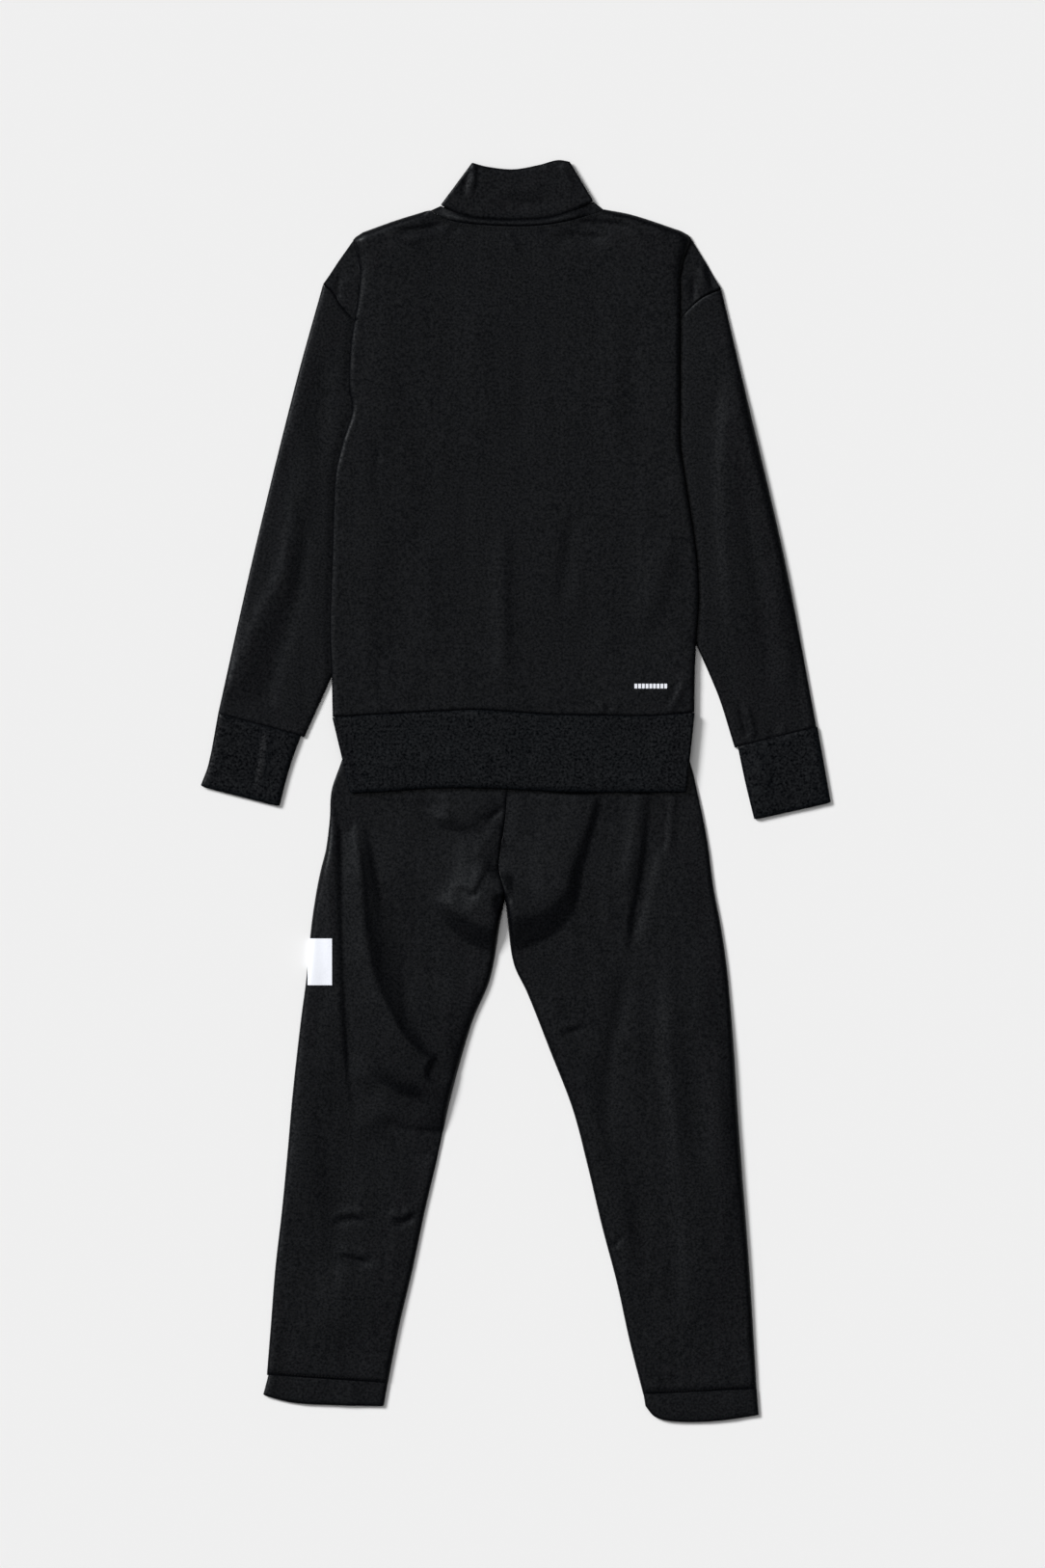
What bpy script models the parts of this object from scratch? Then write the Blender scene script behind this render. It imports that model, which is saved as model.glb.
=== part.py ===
"""A child's zip-up tracksuit laid flat, face down: the jacket's hem lies over the waist of the trousers.

Lengths in the tables are millimetres. X runs to the wearer's right, Y up to the collar, Z up from
the surface that the suit lies on, and the origin is under the middle of the whole layout.
"""

import math
from collections import namedtuple

import bpy

MM = 0.001

# Cloth and the gaps between its layers
KNIT = 1.2
RIB = 1.6
WAISTBAND = 1.4
ZIP_TAPE = 1.0
SEAM = 0.3
SLEEVE_HOLLOW = 1.0
CUFF_HOLLOW = 0.6
LEG_HOLLOW = 2.4
LEG_HOLLOW_UNDER_JACKET = 1.1
LEG_HEM_HOLLOW = 1.6
WAIST_HOLLOW = 0.7
BAND_HOLLOW = 1.6
COLLAR_HOLLOW = 3.6

# Height of the underside of each layer that lies on another one
OVER = 4.0
BACK_LOW = 5.0
BACK_HIGH = 7.2
BAND_UNDER = 4.0
SHOULDER_UNDER = 2.2
FRONT_AT_ARMHOLE = 2.2
TURNED_LOW = KNIT + SEAM

# Inward distance and share of the rise of each point where a panel turns down at its edge
LEG_TURN = ((1.2, 0.0), (1.6, 0.55), (4.5, 0.93))
LEG_SEAT = (0.15, 3.0, 6.0)
BACK_TURN = ((1.2, 0.0), (1.2, 0.27), (1.8, 0.62), (3.6, 0.88), (6.5, 0.98))

# How far a layer that rests on a sleeve or on the trousers stays up past its edge
FULL_REACH = 24.0
FADE_REACH = 38.0

Edge = namedtuple("Edge", "up left right")
Leg = namedtuple("Leg", "up outer inner")
Spot = namedtuple("Spot", "x y")
Fold = namedtuple("Fold", "start bend end width depth")

BODY_EDGE = [
    Edge(543, -160, 172),
    Edge(512, -154, 163.5),
    Edge(485, -156, 163),
    Edge(440, -162.5, 162.5),
    Edge(400, -164.5, 162.5),
    Edge(374, -161.5, 162.5),
    Edge(343, -171, 162.5),
    Edge(312, -177.5, 166.5),
    Edge(277, -179.5, 172),
    Edge(231, -181, 178.5),
    Edge(189, -182.5, 180.5),
    Edge(150, -183, 178),
    Edge(118, -181.5, 176.5),
    Edge(76, -180.5, 176),
]

# Shoulder line from the tuck to the neck, neck curve, and the seam over the ribbed band
SHOULDER_LEFT = [Spot(-160, 543), Spot(-150, 549.5), Spot(-118, 561), Spot(-84, 571.5)]
SHOULDER_RIGHT = [Spot(87, 572), Spot(115, 566.5), Spot(162, 551), Spot(172, 545.5)]
NECK_LINE = [
    Spot(-84, 571.5),
    Spot(-67.5, 563),
    Spot(-48.5, 559),
    Spot(-12.5, 556.5),
    Spot(22, 557),
    Spot(52, 561.5),
    Spot(87, 572),
]
HEM_SEAM = [
    Spot(-180.5, 73),
    Spot(-117, 76.5),
    Spot(-67.5, 79),
    Spot(-36, 80),
    Spot(31, 75.5),
    Spot(84.5, 74.5),
    Spot(133, 74),
    Spot(176, 77.5),
]
BAND_BOTTOM = [
    Spot(-163, -1),
    Spot(-131, 0.5),
    Spot(-82, 4),
    Spot(-29.5, 4),
    Spot(24, 1.5),
    Spot(55, 0),
    Spot(168, 0),
]

# Armhole from the shoulder point to the underarm, and the sleeve's two edges down to its cuff
ARMHOLE_LEFT = [Spot(-190, 499), Spot(-70, 371)]
ARMHOLE_RIGHT = [Spot(202.5, 494.5), Spot(76, 369)]
TUCK_LEFT_UP = 464
TUCK_RIGHT_UP = 468
SLEEVE_LEFT_OUTER = [Spot(-190, 499), Spot(-217.5, 399.5), Spot(-259.5, 228.5), Spot(-293.5, 76.5)]
SLEEVE_LEFT_INNER = [Spot(-70, 371), Spot(-140, 209), Spot(-180.5, 114.5), Spot(-208, 53.5)]
SLEEVE_RIGHT_OUTER = [Spot(202.5, 494.5), Spot(225, 399.5), Spot(265, 228.5), Spot(296.5, 63)]
SLEEVE_RIGHT_INNER = [Spot(76, 369), Spot(142, 221), Spot(197, 100), Spot(215.5, 43)]
CUFF_LEFT_OUTER = [Spot(-293.5, 76.5), Spot(-303, 27), Spot(-310.5, 6)]
CUFF_LEFT_INNER = [Spot(-211.5, 54.4), Spot(-222.5, 23.5), Spot(-232.5, -14)]
CUFF_RIGHT_OUTER = [Spot(297.5, 63.2), Spot(304, 27), Spot(310.5, -10)]
CUFF_RIGHT_INNER = [Spot(218.5, 43.7), Spot(226, 8), Spot(234.5, -27)]

COLLAR_SEAM = [
    Spot(-74, 577),
    Spot(-59, 570.5),
    Spot(-39, 565),
    Spot(1, 563),
    Spot(40, 566.5),
    Spot(76.5, 581),
]
COLLAR_TOP = [
    Spot(-43.5, 618),
    Spot(-28, 614),
    Spot(-2, 611.5),
    Spot(24, 616),
    Spot(41, 620.5),
    Spot(53.5, 619),
]
FRONT_NECK = [Spot(0, 508), Spot(20, 511), Spot(44, 526), Spot(64, 546), Spot(76, 560), Spot(85, 571.5)]
FRONT_NECK_GAP = 2.6
NECK_COLUMNS = 10
FRONT_COLLAR_RISE = 50
COLLAR_TAPER = 150
ZIP_HALF_SLOT = 5
ZIP_HALF = 11
ZIP_END_UP = 4
SLIDER_SIZE = (7.0, 26.0, 1.3)
SLIDER_HEIGHT = 0.85
SLIDER_DOWN = 16

LEG_LEFT = [
    Leg(99, -139, -1),
    Leg(62, -160, -4),
    Leg(24, -174, -7),
    Leg(0, -182, -8.5),
    Leg(-28, -183.5, -10.5),
    Leg(-57, -187, -15),
    Leg(-77, -192, -16.5),
    Leg(-99, -196.5, -11),
    Leg(-133, -201.5, -16),
    Leg(-185, -206.5, -25.5),
    Leg(-227, -212, -43),
    Leg(-299, -220, -63.5),
    Leg(-356, -225, -76),
    Leg(-413, -230.5, -89.5),
    Leg(-470, -237, -101.5),
    Leg(-527, -241.5, -115),
    Leg(-583, -246, -126),
]
LEG_RIGHT = [
    Leg(99, 139, -1),
    Leg(62, 160, -4),
    Leg(24, 173.5, -7),
    Leg(0, 179, -8.5),
    Leg(-28, 185, -10.5),
    Leg(-57, 190, -15),
    Leg(-77, 192.5, -16.5),
    Leg(-99, 195.5, -11),
    Leg(-133, 202, -7.5),
    Leg(-170, 207.5, -2),
    Leg(-199, 210.5, 11.5),
    Leg(-256, 215, 34),
    Leg(-313, 218.5, 56),
    Leg(-370, 222.5, 71),
    Leg(-427, 227, 84.5),
    Leg(-484, 231, 99.5),
    Leg(-541, 234.5, 112),
    Leg(-594, 237.5, 125.5),
]
WAIST_TOP = 133
WAIST_SEAM = 99
WAIST_HALF = 139
CROTCH_UP = -99

# Where the centre seam gives way to two inner legs, where the jacket stops covering the trousers, and how far
# the front panel stays inside the back one's turned edge
SEAT_END = -86
JACKET_END = -6
FRONT_INSET = 0.4
LEG_SEAM_LEFT = [Spot(-244, -575), Spot(-126, -583)]
LEG_SEAM_RIGHT = [Spot(237.5, -588.5), Spot(125.5, -594)]
LEG_END_LEFT = [Spot(-249, -594), Spot(-219, -601.5), Spot(-175, -604), Spot(-130, -605)]
LEG_END_RIGHT = [Spot(239.5, -614), Spot(196, -620), Spot(160, -620.5), Spot(138, -616), Spot(127.5, -604)]

# Large folds: a soft trough (negative depth) or ridge along a bent line
BACK_FOLDS = [
    Fold(Spot(-58, 562), Spot(-84, 556), Spot(-114, 552), 7, -1.2),
    Fold(Spot(52, 560), Spot(86, 558), Spot(118, 555), 7, -1.2),
    Fold(Spot(168, 112), Spot(160, 95), Spot(151, 78), 7, 1.0),
]
LEFT_FOLDS = [
    Fold(Spot(-162, -20), Spot(-146, -112), Spot(-146, -200), 9, 1.0),
    Fold(Spot(-146, -190), Spot(-122, -232), Spot(-76, -262), 10, 1.1),
    Fold(Spot(-150, -40), Spot(-134, -120), Spot(-132, -190), 9, -1.0),
    Fold(Spot(-132, -200), Spot(-106, -246), Spot(-70, -272), 9, -0.9),
    Fold(Spot(-174, -20), Spot(-171, -160), Spot(-160, -300), 6, -0.9),
    Fold(Spot(-105, -66), Spot(-80, -92), Spot(-36, -104), 10, 1.1),
    Fold(Spot(-80, -104), Spot(-58, -122), Spot(-26, -142), 13, -1.2),
    Fold(Spot(-84, -30), Spot(-60, -32), Spot(-42, -34), 10, -0.9),
    Fold(Spot(-130, -322), Spot(-112, -336), Spot(-74, -340), 7, -0.9),
]
RIGHT_FOLDS = [
    Fold(Spot(80, -8), Spot(66, -58), Spot(44, -106), 8, -1.2),
    Fold(Spot(50, -118), Spot(30, -140), Spot(0, -158), 11, -1.2),
    Fold(Spot(30, -96), Spot(12, -112), Spot(-2, -116), 9, 1.0),
    Fold(Spot(138, -10), Spot(124, -80), Spot(112, -150), 8, -1.1),
    Fold(Spot(111, -160), Spot(96, -250), Spot(91, -400), 9, -0.9),
    Fold(Spot(147, -180), Spot(149, -320), Spot(165, -450), 16, 1.0),
]

COLLECTION = bpy.data.collections.new("tracksuit")


def clear_scene():
    for item in list(bpy.data.objects):
        bpy.data.objects.remove(item, do_unlink=True)
    bpy.context.scene.collection.children.link(COLLECTION)


def mix(a, b, share):
    return a + (b - a) * share


def ease(share):
    share = min(max(share, 0.0), 1.0)
    return share * share * (3 - 2 * share)


def curve_value(keys, values, key):
    """Value at a key on a smooth curve through rows whose keys rise."""
    if key <= keys[0]:
        return values[0]
    if key >= keys[-1]:
        return values[-1]
    i = max(k for k in range(len(keys) - 1) if keys[k] <= key)
    span = keys[i + 1] - keys[i]
    t = (key - keys[i]) / span

    def slope(k):
        low, high = max(k - 1, 0), min(k + 1, len(keys) - 1)
        return (values[high] - values[low]) / (keys[high] - keys[low]) * span

    return (
        (2 * t**3 - 3 * t**2 + 1) * values[i]
        + (t**3 - 2 * t**2 + t) * slope(i)
        + (3 * t**2 - 2 * t**3) * values[i + 1]
        + (t**3 - t**2) * slope(i + 1)
    )


def edge_x(table, up, column):
    """X of an edge at a height up the layout."""
    rows = sorted(table)
    return curve_value([row.up for row in rows], [getattr(row, column) for row in rows], up)


def along(spots, share):
    """Point at a share of the length of a smooth line through spots."""
    runs = [0.0]
    for a, b in zip(spots, spots[1:]):
        runs.append(runs[-1] + math.dist(a, b))
    reach = share * runs[-1]
    return Spot(
        curve_value(runs, [spot.x for spot in spots], reach),
        curve_value(runs, [spot.y for spot in spots], reach),
    )


def line_y(spots, x):
    """Y of a line across the layout at x."""
    return curve_value([spot.x for spot in spots], [spot.y for spot in spots], x)


def toward(a, b, share):
    return Spot(mix(a.x, b.x, share), mix(a.y, b.y, share))


def step_from(a, b, distance):
    """The point a distance from a on the way to b."""
    return toward(a, b, distance / math.dist(a, b))


def gap_to_segment(x, y, a, b):
    """Distance in plan from a point to a segment, and the share along it of the nearest point."""
    run_x, run_y = b.x - a.x, b.y - a.y
    share = ((x - a.x) * run_x + (y - a.y) * run_y) / (run_x**2 + run_y**2)
    share = min(max(share, 0.0), 1.0)
    return math.hypot(x - a.x - share * run_x, y - a.y - share * run_y), share


def fold_height(folds, x, y):
    """Sum of the soft troughs and ridges at a point, each fading out at both ends."""
    total = 0.0
    for fold in folds:
        near = []
        for half, (a, b) in enumerate(((fold.start, fold.bend), (fold.bend, fold.end))):
            gap, share = gap_to_segment(x, y, a, b)
            near.append((gap, (half + share) / 2))
        gap, share = min(near)
        total += fold.depth * math.exp(-((gap / fold.width) ** 2)) * ease(6 * share) * ease(6 * (1 - share))
    return total


def inside(x, y, ring):
    """Whether a point lies inside a closed outline."""
    crossings = 0
    for a, b in zip(ring, ring[1:] + ring[:1]):
        if (a.y > y) != (b.y > y) and x < a.x + (y - a.y) / (b.y - a.y) * (b.x - a.x):
            crossings += 1
    return crossings % 2 == 1


def gap_to_outline(x, y, ring):
    if inside(x, y, ring):
        return 0.0
    return min(gap_to_segment(x, y, a, b)[0] for a, b in zip(ring, ring[1:] + ring[:1]))


def held_up(x, y):
    """1 where a sleeve or the trousers lie under the jacket's body, fading to 0 away from them."""
    gaps = [
        gap_to_outline(x, y, SLEEVE_LEFT_OUTER + SLEEVE_LEFT_INNER[::-1]),
        gap_to_outline(x, y, SLEEVE_RIGHT_OUTER + SLEEVE_RIGHT_INNER[::-1]),
        max(y - WAIST_TOP, 0.0),
    ]
    return max(1 - ease((gap - FULL_REACH) / FADE_REACH) for gap in gaps)


def make_material(name, colour, roughness, sheen):
    material = bpy.data.materials.new(name)
    material.use_nodes = True
    shader = material.node_tree.nodes["Principled BSDF"]
    shader.inputs["Base Color"].default_value = (*colour, 1.0)
    shader.inputs["Roughness"].default_value = roughness
    shader.inputs["Metallic"].default_value = 0.0
    shader.inputs["Sheen Weight"].default_value = sheen
    material.diffuse_color = (*colour, 1.0)
    return material


def make_cloth(name, rows, wall, material, ring=False):
    """A wall of cloth, grown outward, on an open or ring-shaped loft through rows of (x, y, z)."""
    width = len(rows[0])
    points = [(x * MM, y * MM, z * MM) for row in rows for x, y, z in row]
    faces = []
    for r in range(len(rows) - 1):
        for c in range(width if ring else width - 1):
            across = (c + 1) % width
            faces.append((r * width + c, (r + 1) * width + c, (r + 1) * width + across, r * width + across))
    mesh = bpy.data.meshes.new(name)
    mesh.from_pydata(points, [], faces)
    mesh.validate()
    mesh.shade_smooth()
    mesh.materials.append(material)
    cloth = bpy.data.objects.new(name, mesh)
    COLLECTION.objects.link(cloth)
    thicken = cloth.modifiers.new("wall", "SOLIDIFY")
    thicken.thickness = wall * MM
    thicken.offset = 1.0
    thicken.use_even_offset = True
    return cloth


def ring_row(outer, inner, wall, hollow, under=0.0, folds=(), bow=0.0, upper=9, lower=3):
    """Section of a flattened tube: the upper layer from left to right, then back along the lower one."""
    left, right = (outer, inner) if outer.x < inner.x else (inner, outer)
    bulge = wall + hollow
    start, end = step_from(left, right, bulge), step_from(right, left, bulge)
    low, high = under + wall, under + wall + hollow
    row = []

    def spot(share, z):
        place = toward(start, end, share)
        return place.x, place.y + bow * 4 * share * (1 - share), z

    for k in range(upper + 1):
        x, y, z = spot(k / upper, high)
        row.append((x, y, z + fold_height(folds, x, y)))
    tip = step_from(right, left, wall)
    row.append((tip.x, tip.y, (low + high) / 2))
    row += [spot(1 - k / lower, low) for k in range(lower + 1)]
    tip = step_from(left, right, wall)
    row.append((tip.x, tip.y, (low + high) / 2))
    return row


def make_tube(name, outer, inner, wall, hollow, rows, material, trim=(0.0, 0.0)):
    """A flattened tube between two edge lines. Trim takes a length off its first and last row."""
    sections = []
    for r in range(rows + 1):
        share = r / rows
        a, b = along(outer, share), along(inner, share)
        shift = -trim[0] if r == 0 else trim[1] if r == rows else 0.0
        a, b = Spot(a.x, a.y + shift), Spot(b.x, b.y + shift)
        sections.append(ring_row(a, b, wall, hollow))
    return make_cloth(name, sections, wall, material, ring=True)


def make_sleeves(knit, rib):
    for side, outer, inner, cuff_outer, cuff_inner in (
        ("left", SLEEVE_LEFT_OUTER, SLEEVE_LEFT_INNER, CUFF_LEFT_OUTER, CUFF_LEFT_INNER),
        ("right", SLEEVE_RIGHT_OUTER, SLEEVE_RIGHT_INNER, CUFF_RIGHT_OUTER, CUFF_RIGHT_INNER),
    ):
        make_tube(f"sleeve_{side}", outer, inner, KNIT, SLEEVE_HOLLOW, 15, knit, trim=(SEAM, SEAM / 2))
        make_tube(f"cuff_{side}", cuff_outer, cuff_inner, RIB, CUFF_HOLLOW, 4, rib, trim=(SEAM / 2, 0.0))


def leg_levels(seam):
    """Heights of the outer and inner ends of each section, with one section at the crotch."""
    above, below = 9, 22
    levels = [(mix(WAIST_SEAM - SEAM, CROTCH_UP, k / above),) * 2 for k in range(above)]
    for k in range(below + 1):
        levels.append([mix(CROTCH_UP, end.y + SEAM / 2, k / below) for end in seam])
    return levels


def make_leg(side, table, seam, folds, material):
    """The back and the front panel of one leg, with their seats joined at the centre seam."""
    back_rows, front_rows = [], []
    inner_columns = 8
    for outer_up, inner_up in leg_levels(seam):
        outer = Spot(edge_x(table, outer_up, "outer"), outer_up)
        inner = Spot(edge_x(table, inner_up, "inner"), inner_up)
        parted = ease((SEAT_END - inner_up) / 40)
        clear = ease((JACKET_END - outer_up) / 25)
        middle = KNIT + mix(LEG_HOLLOW_UNDER_JACKET, LEG_HOLLOW, clear)
        low_inner = mix(middle, TURNED_LOW, parted)
        row = []
        for inward, rise in LEG_TURN:
            place = step_from(outer, inner, inward)
            row.append((place.x, place.y, mix(TURNED_LOW, middle, rise)))
        near, far = step_from(outer, inner, 10), step_from(inner, outer, 11)
        for k in range(inner_columns):
            place = toward(near, far, k / (inner_columns - 1))
            row.append((place.x, place.y, middle + clear * fold_height(folds, place.x, place.y)))
        for (inward, rise), flat in zip(LEG_TURN[::-1], LEG_SEAT[::-1]):
            place = step_from(inner, outer, mix(flat, inward, parted))
            row.append((place.x, place.y, mix(low_inner, middle, rise)))
        inset = mix(SEAM / 2, FRONT_INSET, parted)
        ends = step_from(outer, inner, FRONT_INSET), step_from(inner, outer, inset)
        flat_row = [(*toward(*ends, k / 3), 0.0) for k in range(4)]
        back_rows.append(row if side == "left" else row[::-1])
        front_rows.append(flat_row if side == "left" else flat_row[::-1])
    make_cloth(f"trouser_back_{side}", back_rows, KNIT, material)
    make_cloth(f"trouser_front_{side}", front_rows, KNIT, material)


def make_leg_hem(side, seam, end, material):
    rows = []
    count = 3
    for r in range(count + 1):
        share = r / count
        shift = -2 * SEAM if r == 0 else 0.0
        outer = toward(seam[0], end[0], share)
        inner = toward(seam[1], end[-1], share)
        middle = along(end, 0.5)
        bow = share * (middle.y - (end[0].y + end[-1].y) / 2)
        outer, inner = Spot(outer.x, outer.y + shift), Spot(inner.x, inner.y + shift)
        rows.append(ring_row(outer, inner, KNIT, LEG_HEM_HOLLOW, bow=bow, upper=8))
    make_cloth(f"leg_hem_{side}", rows, KNIT, material, ring=True)


def make_waistband(material):
    rows = []
    for y in (WAIST_TOP, (WAIST_TOP + WAIST_SEAM) / 2, WAIST_SEAM + SEAM):
        rows.append(ring_row(Spot(-WAIST_HALF, y), Spot(WAIST_HALF, y), WAISTBAND, WAIST_HOLLOW, upper=8))
    make_cloth("waistband", rows, WAISTBAND, material, ring=True)


def front_outer(side, up):
    """Edge of a hidden front: along the armhole, then out over the sleeve to the body's edge."""
    sign = -1 if side == "left" else 1
    shoulder, underarm = ARMHOLE_LEFT if side == "left" else ARMHOLE_RIGHT
    body = edge_x(BODY_EDGE, up, side) - sign * 0.5
    if up >= underarm.y:
        share = (shoulder.y - up) / (shoulder.y - underarm.y)
        return mix(shoulder.x, underarm.x, share) - sign * SEAM
    share = ease((underarm.y - up) / 115)
    return mix(underarm.x - sign * SEAM, body, share)


def make_front(side, material):
    """A front panel on the floor, up over its sleeve below the underarm and over the trousers at the hem."""
    sign = -1 if side == "left" else 1
    shoulder, underarm = ARMHOLE_LEFT if side == "left" else ARMHOLE_RIGHT
    slope = SHOULDER_LEFT if side == "left" else SHOULDER_RIGHT[::-1]
    zip_x = sign * ZIP_HALF_SLOT
    neck = [Spot(sign * spot.x, spot.y) for spot in FRONT_NECK[-2:0:-1]]
    neck_middle = Spot(zip_x, FRONT_NECK[0].y)
    top = [shoulder] + slope + neck + [neck_middle]
    bottom_y = line_y(HEM_SEAM, zip_x)
    count, columns = 26, 9
    rows = []
    for r in range(count + 1):
        down = (r / count) ** 1.1
        outer_up = mix(shoulder.y, line_y(HEM_SEAM, edge_x(BODY_EDGE, 76, side)), down)
        outer = Spot(front_outer(side, outer_up), outer_up)
        middle = Spot(zip_x, mix(neck_middle.y, bottom_y, down))
        row = []
        for c in range(columns + 1):
            share = c / columns
            straight = toward(outer, middle, share)
            bump = along(top, share)
            chord = toward(top[0], top[-1], share)
            x = straight.x + (1 - down) ** 2.5 * (bump.x - chord.x)
            y = straight.y + (1 - down) ** 2.5 * (bump.y - chord.y)
            if r == count:
                y = line_y(HEM_SEAM, x) + SEAM / 2
            rise = mix(FRONT_AT_ARMHOLE, OVER, ease((underarm.y + 30 - y) / 28))
            within = ease((r - 1) / 3) if c < 2 else 1.0
            row.append((x, y, rise * held_up(x, y) * within))
        rows.append(row if side == "left" else row[::-1])
    make_cloth(f"jacket_front_{side}", rows, KNIT, material)


def make_back(material):
    """The back panel: tucked at both shoulders, its edges turned down over the sleeves."""
    count, slope_columns = 27, 3
    top = [along(SHOULDER_LEFT[1:], k / slope_columns) for k in range(slope_columns)]
    top += [along(NECK_LINE, k / NECK_COLUMNS) for k in range(NECK_COLUMNS)]
    top += [along(SHOULDER_RIGHT[:-1], k / slope_columns) for k in range(slope_columns + 1)]
    across_top = [(spot.x - top[0].x) / (top[-1].x - top[0].x) for spot in top]
    shoulder_left, shoulder_right = SHOULDER_LEFT[0], SHOULDER_RIGHT[-1]
    hem_left, hem_right = HEM_SEAM[0].y + SEAM / 2, HEM_SEAM[-1].y + SEAM / 2
    tuck_shares = {
        "left": (shoulder_left.y - TUCK_LEFT_UP) / (shoulder_left.y - hem_left),
        "right": (shoulder_right.y - TUCK_RIGHT_UP) / (shoulder_right.y - hem_right),
    }
    rows = []
    for r in range(count + 1):
        down = (r / count) ** 1.2
        fold = {
            "left": Spot(0, mix(shoulder_left.y, hem_left, down)),
            "right": Spot(0, mix(shoulder_right.y, hem_right, down)),
        }
        for side in fold:
            fold[side] = Spot(edge_x(BODY_EDGE, fold[side].y, side), fold[side].y)
        near, far = step_from(fold["left"], fold["right"], 10), step_from(fold["right"], fold["left"], 10)
        if r == 0:
            top_left, top_right = near, far
        middle = []
        for share, spot in zip(across_top, top):
            straight = toward(near, far, share)
            chord = toward(top_left, top_right, share)
            x = straight.x + (1 - down) * (spot.x - chord.x)
            y = straight.y + (1 - down) * (spot.y - chord.y)
            if r == count:
                y = line_y(HEM_SEAM, x) + SEAM / 2
            middle.append((x, y, back_height(x, y, down)))
        ends = Spot(*middle[0][:2]), Spot(*middle[-1][:2])
        left = back_margin("left", fold["left"], ends[0], down, tuck_shares["left"], middle[0][2])
        right = back_margin("right", fold["right"], ends[1], down, tuck_shares["right"], middle[-1][2])
        rows.append(left + middle + right[::-1])
    make_cloth("jacket_back", rows, KNIT, material)


def back_height(x, y, down):
    """Underside of the back: up over sleeves and trousers, down to the shoulder seams at the top."""
    height = mix(BACK_LOW, BACK_HIGH, held_up(x, y))
    neck = ease((95 - abs(x)) / 12)
    shoulder = ease(down * 22)
    height = mix(mix(TURNED_LOW, BACK_LOW, neck), height, shoulder)
    return height + fold_height(BACK_FOLDS, x, y)


def back_margin(side, fold, across, down, tuck_share, height):
    """Five points from the armhole or the turned edge to the flat of the back."""
    shoulder, underarm = ARMHOLE_LEFT if side == "left" else ARMHOLE_RIGHT
    if down < tuck_share * 0.94:
        share = down / tuck_share
        end_up = mix(shoulder.y, TUCK_LEFT_UP if side == "left" else TUCK_RIGHT_UP, share)
        slant = (shoulder.y - end_up) / (shoulder.y - underarm.y)
        end = Spot(mix(shoulder.x, underarm.x, slant), end_up)
        low = mix(TURNED_LOW, SHOULDER_UNDER, ease(down * 22))
        end = step_from(end, fold, SEAM)
        foot = step_from(fold, end, 1.6)
        lip, brow = step_from(fold, across, 0.9), step_from(fold, across, 3.5)
        return [
            (*end, low),
            (*toward(end, foot, 0.5), low),
            (*foot, low + 0.1),
            (*lip, mix(low, height, 0.5)),
            (*brow, mix(low, height, 0.9)),
        ]
    covered = ease((fold.y - 310) / 30)
    low = mix(OVER + TURNED_LOW, OVER, covered)
    return [(*step_from(fold, across, inward), mix(low, height, rise)) for inward, rise in BACK_TURN]


def band_line(share, upper):
    """A line across the ribbed band between its seam and its lower edge."""
    seam = [Spot(spot.x, spot.y - SEAM) for spot in HEM_SEAM]
    return [toward(along(seam, k / upper), along(BAND_BOTTOM, k / upper), share) for k in range(upper + 1)]


def slit_row(line, front_y, wall, low, high, lower=5):
    """Section of a flattened band that is open at the centre front: lower left, round, lower right."""
    left, right = line[0], line[-1]
    half = (high - low) / 2

    def floor_spot(end, share):
        x = mix(math.copysign(ZIP_HALF_SLOT, end.x), end.x, share)
        return x, end.y if share == 1 else front_y(x), low

    shares = [0.95 * k / lower for k in range(lower + 1)] + [1]
    row = [floor_spot(step_from(left, right, wall + half), share) for share in shares]
    tip = step_from(left, right, wall)
    row.append((*tip, (low + high) / 2))
    for k, spot in enumerate(line):
        place = spot
        if k == 0:
            place = step_from(left, right, wall + half)
        elif k == len(line) - 1:
            place = step_from(right, left, wall + half)
        row.append((*place, high))
    tip = step_from(right, left, wall)
    row.append((*tip, (low + high) / 2))
    row += [floor_spot(step_from(right, left, wall + half), share) for share in shares[::-1]]
    return row


def make_hem_band(material):
    rows = []
    count, upper = 4, 18
    for r in range(count + 1):
        line = band_line(r / count, upper)
        spots = sorted(line)

        def lower_y(x, spots=spots):
            return line_y(spots, x)

        rows.append(slit_row(line, lower_y, RIB, BAND_UNDER + RIB, BAND_UNDER + RIB + BAND_HOLLOW))
    make_cloth("hem_band", rows, RIB, material)


def make_collar(material):
    rows = []
    count, upper = 5, NECK_COLUMNS
    for r in range(count + 1):
        rise = 1 - r / count
        shares = [k / upper for k in range(upper + 1)]
        line = [toward(along(COLLAR_SEAM, share), along(COLLAR_TOP, share), rise) for share in shares]

        def lower_y(x, rise=rise):
            taper = 1 - (x / COLLAR_TAPER) ** 2
            return line_y(FRONT_NECK, abs(x)) + FRONT_NECK_GAP + rise * FRONT_COLLAR_RISE * taper

        rows.append(slit_row(line, lower_y, KNIT, KNIT, KNIT + COLLAR_HOLLOW, lower=4))
    make_cloth("collar", rows, KNIT, material)


def make_neck_band(material):
    """The strip between the collar's seam and the line of topstitching below it."""
    rows = []
    for share, trim in ((0.0, -2 * SEAM), (0.5, 0.0), (1.0, SEAM)):
        row = []
        for c in range(NECK_COLUMNS + 1):
            upper, lower = along(COLLAR_SEAM, c / NECK_COLUMNS), along(NECK_LINE, c / NECK_COLUMNS)
            place = toward(upper, lower, share)
            sides = ease(5 * c / NECK_COLUMNS) * ease(5 * (1 - c / NECK_COLUMNS))
            row.append((place.x, place.y + trim, mix(TURNED_LOW, BACK_LOW, sides)))
        rows.append(row)
    make_cloth("neck_band", rows, KNIT, material)


def front_lift(y):
    """How high the fronts lie at the zip."""
    return OVER * held_up(0.0, y)


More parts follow.
